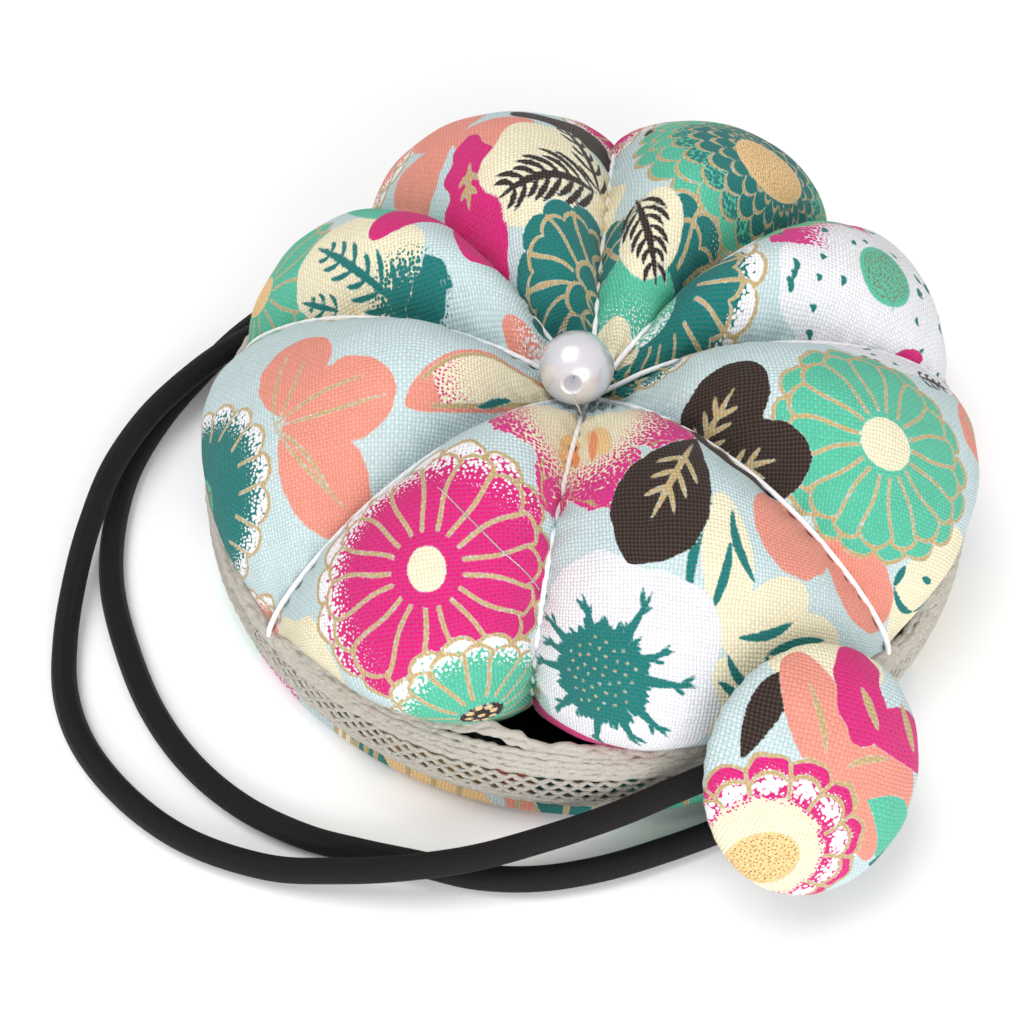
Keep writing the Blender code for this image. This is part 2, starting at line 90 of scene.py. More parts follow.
def distance_along(points):
    """The running sum of the distances from each point to the next, starting at 0."""
    steps = np.linalg.norm(np.diff(points, axis=0), axis=1)
    return np.concatenate([[0.0], np.cumsum(steps)])


READS_PER_POINT = 40


def evenly(points, step):
    """The smooth curve through points, read again at even steps along its length."""
    at = np.linspace(0, len(points) - 1, len(points) * READS_PER_POINT)
    fine = through(points, at)
    length = distance_along(fine)
    wanted = np.linspace(0.0, length[-1], max(2, round(length[-1] / step) + 1))
    return np.column_stack([np.interp(wanted, length, fine[:, axis]) for axis in range(3)])


def unit(vectors):
    """Each vector divided by its length."""
    return vectors / np.maximum(np.linalg.norm(vectors, axis=-1, keepdims=True), 1e-9)


# %% Turn grids into meshes
def link_mesh(name, points, faces_of_4, faces_of_3, marks):
    """A mesh object from points in millimetres, four- and three-sided faces, and point marks."""
    mesh = bpy.data.meshes.new(name)
    corners = np.concatenate([faces_of_4.ravel(), faces_of_3.ravel()]).astype(np.int32)
    starts = np.concatenate([np.arange(len(faces_of_4)) * 4,
                             len(faces_of_4) * 4 + np.arange(len(faces_of_3)) * 3])
    mesh.vertices.add(len(points))
    mesh.vertices.foreach_set("co", (points * MM).astype(np.float32).ravel())
    mesh.loops.add(len(corners))
    mesh.loops.foreach_set("vertex_index", corners)
    mesh.polygons.add(len(starts))
    mesh.polygons.foreach_set("loop_start", starts.astype(np.int32))
    mesh.update(calc_edges=True)
    mesh.validate()
    mesh.shade_smooth()
    for mark, values in marks.items():
        kind = {3: "FLOAT_VECTOR", 4: "FLOAT_COLOR"}[values.shape[-1]]
        field = "vector" if kind == "FLOAT_VECTOR" else "color"
        layer = mesh.attributes.new(mark, kind, "POINT")
        layer.data.foreach_set(field, values.astype(np.float32).ravel())
    made = bpy.data.objects.new(name, mesh)
    scene.collection.objects.link(made)
    return made


def skin_parts(grid, marks, along=False):
    """The points, faces and marks of a grid of points (rows, columns). The last column joins the
    first. With along the last row joins the first too; without it, a fan to its middle closes each
    of them. The skin is turned so that it encloses a positive volume."""
    rows, columns = grid.shape[:2]
    here = np.arange(rows * columns).reshape(rows, columns)
    right = np.roll(here, -1, axis=1)
    low = np.concatenate([here, here[:1]]) if along else here
    low_right = np.concatenate([right, right[:1]]) if along else right
    quads = np.stack([low[:-1], low[1:], low_right[1:], low_right[:-1]], -1).reshape(-1, 4)
    points = grid.reshape(-1, 3)
    marks = {mark: values.reshape(rows * columns, -1) for mark, values in marks.items()}
    triangles = np.zeros((0, 3), int)
    if not along:
        points = np.vstack([points, grid[0].mean(0), grid[-1].mean(0)])
        for mark, values in marks.items():
            ring = values.reshape(rows, columns, -1)
            marks[mark] = np.vstack([values, ring[0].mean(0), ring[-1].mean(0)])
        first, last = rows * columns, rows * columns + 1
        triangles = np.concatenate([
            np.column_stack([np.full(len(here[0]), first), here[0], right[0]]),
            np.column_stack([np.full(len(here[0]), last), right[-1], here[-1]]),
        ])
    a, b, c, d = (points[quads[:, n]] for n in range(4))
    p, q, r = (points[triangles[:, n]] for n in range(3))
    volume = (np.cross(b - a, c - a) * a).sum() + (np.cross(c - a, d - a) * a).sum()
    volume += (np.cross(q - p, r - p) * p).sum()
    if volume < 0:
        quads, triangles = quads[:, ::-1], triangles[:, ::-1]
    return points, quads, triangles, marks


def skin(name, grid, marks, along=False):
    """One grid of points as a mesh object."""
    return link_mesh(name, *skin_parts(grid, marks, along))


def tube_grid(path, hint, radius, sides):
    """A round tube: rings about each point of path. A ring's first direction is hint made square to
    the path, its second is square to both, and radius is a number or a (rows, sides) array."""
    ahead = unit(np.gradient(path, axis=0))
    hint = np.broadcast_to(np.asarray(hint, float), path.shape)
    first = unit(hint - (hint * ahead).sum(-1, keepdims=True) * ahead)
    second = np.cross(ahead, first)
    turn = 2 * np.pi * np.arange(sides) / sides
    out = (first[:, None] * np.cos(turn)[None, :, None]
           + second[:, None] * np.sin(turn)[None, :, None])
    radius = np.broadcast_to(np.asarray(radius, float), (len(path), sides))
    return path[:, None] + out * radius[..., None]


def tube_marks(grid):
    """The mark a cord's or thread's pattern reads: turns round it (0 to 1) and mm along it."""
    rows, sides = grid.shape[:2]
    length = distance_along(grid.mean(1))
    turn = np.arange(sides) / sides
    return np.stack([np.broadcast_to(turn, (rows, sides)),
                     np.broadcast_to(length[:, None], (rows, sides)),
                     np.zeros((rows, sides))], -1)


def joined(name, grids, along=True):
    """Several closed tubes as one mesh: each one's faces count on from the points before it."""
    parts = [skin_parts(part, {"along": tube_marks(part)}, along) for part in grids]
    first = np.concatenate([[0], np.cumsum([len(part[0]) for part in parts])])
    points = np.concatenate([part[0] for part in parts])
    quads, triangles = (np.concatenate([part[n] + k for part, k in zip(parts, first)])
                        for n in (1, 2))
    marks = {"along": np.concatenate([part[3]["along"] for part in parts])}
    return link_mesh(name, points, quads, triangles, marks)


# %% [markdown]
# ## The elastic
#
# A round braided elastic, 2.5 mm thick. Both ends go in at the back of the cup, and the loop lies
# round the left side and hooks behind the button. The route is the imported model's own list of
# points. The cord comes first because everything else has to leave it room.

# %% Lay the elastic along its route
ELASTIC = 2.5
ELASTIC_ROUTE = [
    (-26.3, 18.8, 4.4), (-30.3, 19.8, 4.5), (-34.2, 19.5, 4.4), (-38.0, 17.2, 4.2),
    (-42.0, 13.3, 4.1), (-46.2, 7.5, 4.1), (-49.2, 0.6, 4.1), (-50.7, -6.5, 3.8),
    (-51.6, -12.5, 2.7), (-51.9, -19.0, 1.6), (-51.0, -25.5, 1.35), (-48.3, -31.4, 1.3),
    (-43.4, -37.0, 1.3), (-37.4, -41.2, 1.3), (-30.0, -43.9, 1.6), (-23.5, -44.9, 2.9),
    (-17.5, -45.2, 4.1), (-11.0, -44.4, 4.5), (-4.5, -42.8, 5.2), (1.6, -41.2, 6.5),
    (6.6, -40.0, 8.7), (10.6, -39.1, 10.7), (14.1, -37.8, 12.0), (17.5, -36.1, 12.2),
    (20.9, -34.6, 11.0), (23.1, -33.3, 8.6), (23.9, -32.7, 6.3), (23.1, -33.4, 4.1),
    (20.6, -35.1, 2.3), (17.2, -37.2, 1.5), (12.0, -39.8, 1.3), (6.5, -42.0, 1.3),
    (0.6, -43.9, 1.3), (-5.3, -44.9, 1.3), (-10.9, -44.7, 1.3), (-16.1, -43.4, 1.3),
    (-21.4, -42.2, 1.3), (-26.9, -40.6, 1.3), (-32.9, -37.5, 1.3), (-38.2, -32.9, 1.3),
    (-42.5, -27.0, 1.3), (-45.8, -19.9, 1.3), (-48.1, -12.7, 1.3), (-48.8, -5.5, 1.3),
    (-48.0, 2.2, 1.3), (-45.3, 9.6, 1.3), (-41.5, 16.0, 1.5), (-37.6, 20.3, 2.6),
    (-33.6, 22.6, 3.9), (-29.5, 22.7, 4.4), (-25.5, 21.6, 4.4),
]
ELASTIC_SIDES = 24
RIBS = 8
RIB_HEIGHT = 0.035
elastic_path = evenly(ELASTIC_ROUTE, 0.4)
turns = 2 * np.pi * np.arange(ELASTIC_SIDES) / ELASTIC_SIDES
ribs = RIB_HEIGHT * np.cos(RIBS * turns)[None, :]
elastic_radius = ELASTIC / 2 - RIB_HEIGHT + ribs
elastic_grid = tube_grid(elastic_path, (0.0, 0.0, 1.0), elastic_radius, ELASTIC_SIDES)
elastic = skin("elastic_cord", elastic_grid, marks={"along": tube_marks(elastic_grid)})
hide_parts("elastic_loop")
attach(elastic, "root")

# %% [markdown]
# ## The shape of the cushion
#
# Eight threads pull a stuffed round of cloth into eight lobes. The shape is worked out from two
# outlines, each running from the pit in the middle over the top and in under the bottom: one along
# a valley and one along a lobe's crest. Between two valleys the surface swells from one outline to
# the other. The lobes at the back stand out further, because the cushion leans back in its cup.
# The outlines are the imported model's own, read as smooth curves. No two lobes are quite the same,
# so near the rim each crest and each valley is moved by its own reach outwards and its own rise.

# %% Outlines of a valley and of a crest
VALLEY_AZIMUTHS = [-100.7, -43.0, 7.0, 43.5, 84.0, 129.0, 164.0, 217.0]
LOBES = len(VALLEY_AZIMUTHS)
VALLEY_OUTLINE = [
    (0.0, 15.6), (1.6, 16.1), (3.4, 17.1), (6.0, 18.6), (10.0, 20.0), (15.0, 20.8), (20.0, 20.6),
    (25.0, 19.1), (29.2, 16.4), (32.0, 13.0), (32.6, 9.8), (31.2, 7.4), (27.5, 6.1),
    (20.0, 5.8), (12.0, 5.8), (4.5, 5.8),
]
CREST_OUTLINE = [
    (0.0, 15.8), (1.8, 16.4), (3.8, 18.2), (6.8, 21.2), (10.6, 24.8), (15.6, 27.1), (21.0, 27.5),
    (27.0, 25.2), (32.4, 21.0), (36.6, 16.4), (37.9, 12.4), (35.6, 9.5), (29.5, 6.6),
    (21.5, 5.8), (13.0, 5.8), (4.5, 5.8),
]
FRONT_VALLEY_PINCH = 1.5
ROUNDNESS = ([0.0, 7.0, 9.0], [0.66, 0.66, 0.48])
LOBE_REACH = [2.0, 1.6, 1.4, 3.0, 3.0, 0.2, 1.6, 2.1]
LOBE_RISE = [-1.3, -1.0, 0.8, 2.0, 2.0, 0.0, -1.6, -1.6]
VALLEY_REACH = [0.0, 4.4, 3.4, 3.6, 4.0, 3.0, 3.6, 5.0]
VALLEY_RISE = [0.0, -1.0, 0.5, 1.6, 2.2, 0.8, -0.4, -2.0]
CREST_SHARE = [0, 0, 0, 0, 0, 0.1, 0.35, 0.65, 0.9, 1.0, 0.2, 0, 0, 0, 0, 0]
VALLEY_SHARE = [0, 0, 0, 0, 0, 0.05, 0.15, 0.35, 0.6, 0.9, 1.0, 0.3, 0, 0, 0, 0]


def spread(outline, shares, reach, rise):
    """An outline with each point moved by its share of reach outwards and of rise upwards."""
    return np.array(outline) + np.outer(shares, (reach, rise))


def valley_at(index, at):
    """Radius and height along one valley. The front one is pulled in most at its outer part."""
    index %= LOBES
    low = through(spread(VALLEY_OUTLINE, VALLEY_SHARE, VALLEY_REACH[index], VALLEY_RISE[index]), at)
    if index > 0:
        return low
    high = through(CREST_OUTLINE, at)
    outer = np.clip((low[..., :1] - 24.0) / 8.0, 0.0, 1.0)
    return low + (high - low) * (1.0 - FRONT_VALLEY_PINCH) * outer


def lobe_span(lobe):
    """The azimuths of the two valleys beside a lobe, in degrees."""
    end = VALLEY_AZIMUTHS[(lobe + 1) % LOBES]
    return VALLEY_AZIMUTHS[lobe], end + (360.0 if lobe == LOBES - 1 else 0.0)


def lobe_points(lobe, across, at):
    """Points of a lobe. across runs 0 to 1 from valley to valley, at runs along the outlines. The
    surface lies between valley and crest by the share sin(pi across) to the power of roundness,
    which is less, and so fuller, near the rim."""
    start, end = lobe_span(lobe)
    across = np.asarray(across)[None, :, None]
    low = valley_at(lobe, at)[:, None] * (1 - across) + valley_at(lobe + 1, at)[:, None] * across
    crest = spread(CREST_OUTLINE, CREST_SHARE, LOBE_REACH[lobe], LOBE_RISE[lobe])
    high = through(crest, at)[:, None]
    power = np.interp(at, *ROUNDNESS)[:, None, None]
    outline = low + (high - low) * np.sin(np.pi * across) ** power
    azimuth = np.radians(start + (end - start) * across[..., 0])
    return np.stack([outline[..., 0] * np.cos(azimuth), outline[..., 0] * np.sin(azimuth),
                     outline[..., 1]], -1)


# %% [markdown]
# The cloth is one round of cotton, so its print is a flat picture wrapped over the lobes. Each
# point of the surface keeps its place on the flat cloth, in millimetres: the distance from the
# middle is measured over a crest, and the angle is shared out by the distance across each lobe, so
# that the print isn't stretched where a lobe turns down into a valley.

# %% The grid of the cushion, and its place on the flat cloth
COLUMNS_PER_DEGREE = 2.9
ROW_STEP = 0.25
HIDDEN_ROW_STEP = 1.2
SEEN_LENGTH = 56.0
EVEN_ROW = 7.0


def lobe_shares(lobe):
    """Shares from 0 to just under 1 for the columns of a lobe."""
    start, end = lobe_span(lobe)
    columns = round((end - start) * COLUMNS_PER_DEGREE)
    return np.arange(columns) / columns


def even_across(lobe, shares):
    """Places across a lobe at those shares of its surface's width at the row EVEN_ROW."""
    across = np.linspace(0.0, 1.0, 2001)
    length = distance_along(lobe_points(lobe, across, np.array([EVEN_ROW]))[0])
    return np.interp(shares * length[-1], length, across)


def cushion_grid():
    """The surface as (rows, columns, 3), and each point's place on the flat cloth."""
    fine_at = np.linspace(0, len(CREST_OUTLINE) - 1, 3000)
    fine_length = distance_along(through(CREST_OUTLINE, fine_at))
    seen = np.arange(0.3, SEEN_LENGTH, ROW_STEP)
    hidden = np.arange(SEEN_LENGTH, fine_length[-1], HIDDEN_ROW_STEP)
    length = np.concatenate([seen, hidden])
    at = np.interp(length, fine_length, fine_at)
    surface, flat = [], []
    for lobe in range(LOBES):
        start, end = lobe_span(lobe)
        shares = lobe_shares(lobe)
        surface.append(lobe_points(lobe, even_across(lobe, shares), at))
        angle = np.radians(start + (end - start) * shares)
        flat.append(np.stack([length[:, None] * np.cos(angle), length[:, None] * np.sin(angle),
                              np.zeros((len(length), len(shares)))], -1))
    return np.concatenate(surface, 1), np.concatenate(flat, 1), length


# %% [markdown]
# Stuffed cotton isn't perfectly smooth. It puckers where a thread holds it, gathers in fine radial
# pleats round the pit, and has shallow dents where the filling is thinner. The three are small
# moves along the surface's own direction, made of sums of sines, so they are the same every time.


# %% Puckers, pleats and dents
def outward(grid):
    """Unit directions square to a grid closed round its columns, pointing away from its middle."""
    around = np.roll(grid, -1, axis=1) - np.roll(grid, 1, axis=1)
    down = np.gradient(grid, axis=0)
    return unit(np.cross(down, around))


WAVES = 6
USUAL_CREST = 3.5


def ripples(x, y, size, seed):
    """A smooth uneven field between about -1 and 1: six sine waves of one size, each at its own
    angle and phase, added up and divided by the height their sum usually reaches."""
    angles = seed + np.arange(WAVES) * 2.4
    phases = seed * 3.7 + np.arange(WAVES) * 1.9
    waves = [np.sin((x * math.cos(a) + y * math.sin(a)) * 2 * math.pi / size
                    + p + 0.8 * math.sin(p))
             for a, p in zip(angles, phases)]
    return sum(waves) / USUAL_CREST


PLEATS = 34
share = np.concatenate([lobe_shares(lobe) for lobe in range(LOBES)])[None, :]
grid, flat, row_length = cushion_grid()
flat_x, flat_y = flat[..., 0], flat[..., 1]
from_middle = row_length[:, None]
from_valley = np.minimum(share, 1 - share) * np.minimum(from_middle, 45.0) * 0.9
seen_part = np.clip((60.0 - from_middle) / 8.0, 0.0, 1.0) * np.clip(from_middle / 3.0, 0.0, 1.0)
angle = np.arctan2(flat_y, flat_x)
dents = 0.28 * ripples(flat_x, flat_y, 17.0, 1.3) + 0.10 * ripples(flat_x, flat_y, 6.5, 2.1)
puckers = 0.16 * np.exp(-(from_valley / 2.2) ** 2) * np.sin(
    from_middle * 2.1 + 1.7 * ripples(flat_x, flat_y, 9.0, 0.4))
pleats = 0.22 * np.exp(-(from_middle / 7.5) ** 2) * np.sin(
    PLEATS * angle + 2.0 * ripples(flat_x, flat_y, 8.0, 3.0))
away_from_thread = np.clip(from_valley / 1.2, 0.0, 1.0)
moved = (dents * away_from_thread + puckers + pleats) * seen_part
grid = grid + outward(grid) * moved[..., None]
print("cushion grid", grid.shape, "highest point", round(float(grid[..., 2].max()), 1), "mm")

# %% [markdown]
# ## The printed picture
#
# The cotton is screen-printed with garden flowers in flat inks, with gold outlines and stippled
# shading. It could be an image, but an image can't be made here, so the picture is drawn as
# distances: for every ink, each point of the cloth holds how far inside that ink's area it lies, in
# millimetres. A shape laid on top takes its area away from every other ink. The material later
# colours a point wherever its distance is above zero, which gives clean edges between the points.
# Stippling is a separate layer: how densely dots of an ink are sprinkled, from 0 to 1.

# %% A cloth to print on
INKS = ["white", "cream", "magenta", "coral", "mint", "teal", "brown", "gold",
        "apricot", "orange", "wine"]
DOTS = ["white_dots", "magenta_dots", "teal_dots", "gold_dots"]
FAR_AWAY = -9.0


def new_cloth(x, y):
    """A blank cloth: every ink is far away and there are no dots."""
    x, y = np.asarray(x, float).ravel(), np.asarray(y, float).ravel()
    cloth = {"x": x, "y": y}
    for ink in INKS:
        cloth[ink] = np.full(x.shape, FAR_AWAY)
    for dots in DOTS:
        cloth[dots] = np.zeros(x.shape)
    return cloth


def lay(cloth, ink, inside):
    """Print a shape. inside is the distance into it: it adds to its own ink and cuts the others."""
    for other in INKS:
        if other != ink:
            cloth[other] = np.minimum(cloth[other], -inside)
    cloth[ink] = np.maximum(cloth[ink], inside)
    if ink != "gold":
        for dots in DOTS:
            cloth[dots] = np.where(inside > 0, 0.0, cloth[dots])


def sprinkle(cloth, dots, density, inside):
    """Sprinkle dots with a density inside a shape."""
    kept = np.where(inside > 0, np.clip(density, 0.0, 1.0), 0.0)
    cloth[dots] = np.maximum(cloth[dots], kept)


# %% Shapes as distances
def wobble(cloth, amount, size=2.3):
    """A small uneven offset, so that a printed edge isn't drawn with a compass."""
    return amount * ripples(cloth["x"], cloth["y"], size, 0.7)


def oval(cloth, centre, radii, turn=0.0):
    """The distance into an ellipse, from its scaled radius."""
    a = math.radians(turn)
    x, y = cloth["x"] - centre[0], cloth["y"] - centre[1]
    u, v = x * math.cos(a) + y * math.sin(a), y * math.cos(a) - x * math.sin(a)
    return (1.0 - np.hypot(u / radii[0], v / radii[1])) * min(radii)


def between(cloth, start, end):
    """Places along (0 to 1) and across (mm, left positive) the straight line between two points."""
    ahead = np.subtract(end, start).astype(float)
    length = math.hypot(*ahead)
    ahead = ahead / length
    x, y = cloth["x"] - start[0], cloth["y"] - start[1]
    return (x * ahead[0] + y * ahead[1]) / length, y * ahead[0] - x * ahead[1]


def leaf(cloth, start, end, width, bend=0.0, fullness=0.45, blunt=0.65):
    """The distance into a leaf: its half width is width times sin(pi u) to a power, where u is the
    place along it. blunt below 1 moves the widest part towards the tip. bend bows it sideways."""
    u, v = between(cloth, start, end)
    inner = np.clip(u, 0.0, 1.0)
    v = v - bend * 4 * inner * (1 - inner)
    half = width / 2 * np.sin(np.pi * inner ** (1 / blunt)) ** fullness
    beyond = np.maximum(np.maximum(-u, u - 1), 0.0) * math.dist(start, end)
    return np.where(beyond > 0, -np.hypot(beyond, v), half - np.abs(v))


def stroke(cloth, start, end, width, bend=0.0):
    """The distance into a brush stroke: fullest in the middle, and thin at both ends."""
    return leaf(cloth, start, end, width, bend, fullness=0.6, blunt=0.999)


def polar(cloth, centre):
    """Distance from a centre, and angle round it in radians."""
    x, y = cloth["x"] - centre[0], cloth["y"] - centre[1]
    return np.hypot(x, y), np.arctan2(y, x)


def sector(angle, count, turn):
    """How far an angle is from the middle of its petal, in radians."""
    step = 2 * math.pi / count
    return (angle - math.radians(turn) + step / 2) % step - step / 2


# %% Whole motifs
LINE = 0.19
GOLDEN_ANGLE = 2.39996
PETAL_DEPTH = 1.1
SPECKS = 44


def spot_on(centre, radius, turn):
    """The point at a radius and an angle in radians from a centre."""
    return centre[0] + radius * math.cos(turn), centre[1] + radius * math.sin(turn)


def outlined(cloth, inside):
    """A gold line just inside the edge of a shape."""
    lay(cloth, "gold", LINE - np.abs(inside - LINE))


def scalloped(cloth, centre, radius, count, turn=0.0, depth=0.9):
    """The distance into a round with petal-shaped scallops: the rim is further out in the middle of
    each petal, by depth."""
    rho, angle = polar(cloth, centre)
    swing = np.cos(sector(angle, count, turn) * count / 2)
    return radius - depth + depth * np.sqrt(np.clip(swing, 0.0, 1.0)) - rho


def spokes(cloth, centre, inner, outer, count, turn=0.0):
    """The lines between petals, a little bent, from an inner to an outer radius."""
    rho, angle = polar(cloth, centre)
    line = np.round((angle - math.radians(turn)) * count / (2 * math.pi) - 0.5)
    bent = angle + 0.035 * np.sin(rho * 0.8 + 3.0 * line)
    off = (math.pi / count - np.abs(sector(bent, count, turn))) * rho
    return np.minimum(LINE * 0.9 - off, np.minimum(rho - inner, outer - rho))


def daisy(cloth, ink, centre, radius, count, eye, turn=0.0, eye_ink="cream", tips=None,
          tip_direction=None):
    """A flower of two layers of petals: scalloped rims, lines between the petals, and an eye. Its
    tips can be sprinkled with dots, all round or more on the side of tip_direction."""
    half_petal = 180.0 / count
    body = scalloped(cloth, centre, radius, count, turn, PETAL_DEPTH) + wobble(cloth, 0.12)
    front = scalloped(cloth, centre, 0.87 * radius, count, turn + half_petal, PETAL_DEPTH)
    lay(cloth, ink, body)
    rho, angle = polar(cloth, centre)
    if tips:
        side = 1.0
        if tip_direction is not None:
            side = np.clip(0.45 + np.cos(angle - math.radians(tip_direction)), 0.0, 1.0)
        sprinkle(cloth, tips, (rho / radius - 0.6) * 2.7 * side, body - 0.15)
    lay(cloth, "gold", spokes(cloth, centre, 0.27 * radius, 0.83 * radius, count,
                              turn + half_petal))
    lay(cloth, "gold", np.minimum(spokes(cloth, centre, 0.8 * radius, 0.93 * radius, count, turn),
                                  -front))
    lay(cloth, "gold", LINE - np.abs(front))
    outlined(cloth, body)
    lay(cloth, eye_ink, oval(cloth, centre, eye))


def veins(cloth, start, end, pairs, reach, width=0.5):
    """A gold midrib with pairs of side strokes that lean forward."""
    lay(cloth, "gold", stroke(cloth, start, end, width))
    base, tip = np.array(start, float), np.array(end, float)
    side = np.array([-(tip - base)[1], (tip - base)[0]]) / max(math.dist(start, end), 1e-6)
    for k in range(pairs):
        root = base + (tip - base) * (0.25 + 0.55 * k / pairs)
        for sign in (1, -1):
            point = root + (tip - base) * 0.22 + sign * side * reach * (1 - 0.4 * k / pairs)
            lay(cloth, "gold", stroke(cloth, tuple(root), tuple(point), width * 0.8))


def fern(cloth, ink, start, end, pairs, reach, width=0.7):
    """A stem with many side strokes, fanned out and shorter towards the tip."""
    lay(cloth, ink, stroke(cloth, start, end, width))
    base, tip = np.array(start, float), np.array(end, float)
    ahead = (tip - base) / max(math.dist(start, end), 1e-6)
    side = np.array([-ahead[1], ahead[0]])
    for k in range(pairs):
        root = base + (tip - base) * (0.05 + 0.88 * k / pairs)
        far = reach * (1.05 - 0.6 * k / pairs) * (0.9 + 0.15 * math.sin(2.3 * k))
        for sign in (1, -1):
            point = root + (ahead * 0.95 + sign * side * 0.85) * far
            lay(cloth, ink, leaf(cloth, tuple(root), tuple(point), width * 0.72, 0.3 * sign, 0.6,
                                 0.9))


def thistle(cloth, centre, radius, rays, reach):
    """A bristly round head with long forked rays, and gold specks in the head."""
    rho, angle = polar(cloth, centre)
    bristle = 0.38 * np.sin(angle * 43) + 0.3 * np.sin(angle * 27 + 1.0)
    lay(cloth, "teal", radius + bristle - rho)
    for k in range(rays):
        a = 2 * math.pi * k / rays + 0.2 * math.sin(5.0 * k)
        far = reach * (0.84 + 0.2 * math.sin(3.1 * k + 0.5))
        sway = math.sin(2.0 * k)
        lay(cloth, "teal", leaf(cloth, spot_on(centre, radius * 0.7, a), spot_on(centre, far, a),
                                0.9, 0.2 * sway, 0.8, 2.2))
        lay(cloth, "teal", stroke(cloth, spot_on(centre, radius, a),
                                  spot_on(centre, far + 0.4, a), 0.42, 0.25 * sway))
        lay(cloth, "teal", stroke(cloth, spot_on(centre, far - 1.4, a),
                                  spot_on(centre, far + 0.2, a + 0.1), 0.42))
        lay(cloth, "teal", stroke(cloth, spot_on(centre, far - 2.0, a),
                                  spot_on(centre, far - 0.7, a - 0.1), 0.38))
    for k in range(5 * rays):
        a = GOLDEN_ANGLE * k + 0.3
        lay(cloth, "teal", leaf(cloth, spot_on(centre, radius * 0.8, a),
                                spot_on(centre, radius * (1.16 + 0.1 * math.sin(7.0 * k)), a), 0.5,
                                0.0, 0.6, 1.3))
    for k in range(SPECKS):
        far = radius * 0.82 * math.sqrt((k + 0.5) / SPECKS)
        lay(cloth, "gold", oval(cloth, spot_on(centre, far, GOLDEN_ANGLE * k), (0.15, 0.12)))


def patch(cloth, ink, centre, radii, turn=0.0, ragged=0.5):
    """A plain uneven patch."""
    lay(cloth, ink, oval(cloth, centre, radii, turn) + wobble(cloth, ragged, 5.0))


def trefoil(cloth, ink, hub, tips, width, veined=3, blunt=0.7, fullness=0.5):
    """Broad leaves that share a hub, with thin veins."""
    for tip in tips:
        lay(cloth, ink, leaf(cloth, hub, tip, width, 0.0, fullness, blunt) + wobble(cloth, 0.12))
    if veined:
        for tip in tips:
            ahead = np.array(tip, float) - hub
            veins(cloth, tuple(hub + ahead * 0.12), tuple(hub + ahead * 0.74), veined, width * 0.24)


def scales(cloth, centre, outer, count, rows):
    """A flower of overlapping round scales: scalloped rings, each turned by half a scale."""
    for k in range(rows):
        radius = outer * (1.0 - 0.13 * k)
        ring = scalloped(cloth, centre, radius, count, 180.0 * k / count, 1.5)
        lay(cloth, "mint" if k < rows * 0.4 else "teal", ring)
        if k == rows // 3:
            sprinkle(cloth, "teal_dots", 0.55, ring)
        outlined(cloth, ring)


# %% [markdown]
# The picture itself is a list of motifs, placed on the flat cloth. The front of the cushion
# is at negative y. The motifs that lie over the far side continue the same garden.


# %% Draw the cushion's picture
def draw_front(cloth):
    """The two near lobes: a magenta flower on the left and a teal thistle on white on the right."""
    patch(cloth, "cream", (-33.0, -36.5), (6.5, 7.0), 40)
    fern(cloth, "teal", (-36.5, -34.0), (-33.0, -41.0), 4, 2.0)
    daisy(cloth, "magenta", (-17.1, -28.4), 11.7, 17, (1.7, 1.9), 8.0,
          tips="white_dots", tip_direction=130.0)
    hub = (-14.4, -42.8)
    daisy(cloth, "mint", hub, 8.6, 15, (2.1, 1.5), 0.0, "brown", "white_dots", 85.0)
    for k in range(9):
        spot = spot_on(hub, 1.2 if k else 0.0, 0.8 * k)
        lay(cloth, "apricot", oval(cloth, spot, (0.34, 0.26)))
    for k in range(5):
        spot = spot_on((2.4, -38.6), 5.2, math.radians(36 + 72 * k))
        patch(cloth, "white", spot, (5.6, 5.4), 0, 0.3)
    lay(cloth, "magenta", leaf(cloth, (-9.0, -47.0), (9.0, -50.5), 5.5, -0.5))
    thistle(cloth, (1.3, -39.2), 4.3, 11, 9.2)


def draw_front_middle(cloth):
    """The pink orchid under the pearl, and the brown leaf beside it."""
    petals = (
        ((-1.0, -6.5), (-11.2, -16.0), 8.4, 0.9), ((-1.6, -8.0), (-5.8, -23.6), 7.6, 0.8),
        ((-1.0, -8.0), (10.6, -16.8), 8.8, -0.6), ((-1.0, -10.0), (2.4, -24.4), 8.4, -0.8),
    )
    far = np.hypot(cloth["x"] + 1.2, cloth["y"] + 12.0)
    for start, end, width, bend in petals:
        petal = leaf(cloth, start, end, width, bend) + wobble(cloth, 0.45, 1.7)
        lay(cloth, "cream", petal)
        sprinkle(cloth, "magenta_dots", (far - 4.2) / 8.2, petal)
        lay(cloth, "gold", np.minimum(0.7 * LINE - np.abs(petal - 0.9), far - 8.5))
    for sign in (-1, 1):
        lay(cloth, "apricot", oval(cloth, (-1.2 + 1.9 * sign, -15.0), (1.3, 3.2), 12 * sign))
        lay(cloth, "orange", stroke(cloth, (-1.2 + 1.4 * sign, -12.6),
                                    (-1.0 + 0.9 * sign, -18.4), 1.0))
    trefoil(cloth, "brown", (11.2, -16.2), [(18.6, -6.0), (23.4, -15.2)], 7.4, 3)
    trefoil(cloth, "brown", (11.4, -16.0), [(3.6, -29.4)], 8.6, 3, 0.66, 0.75)


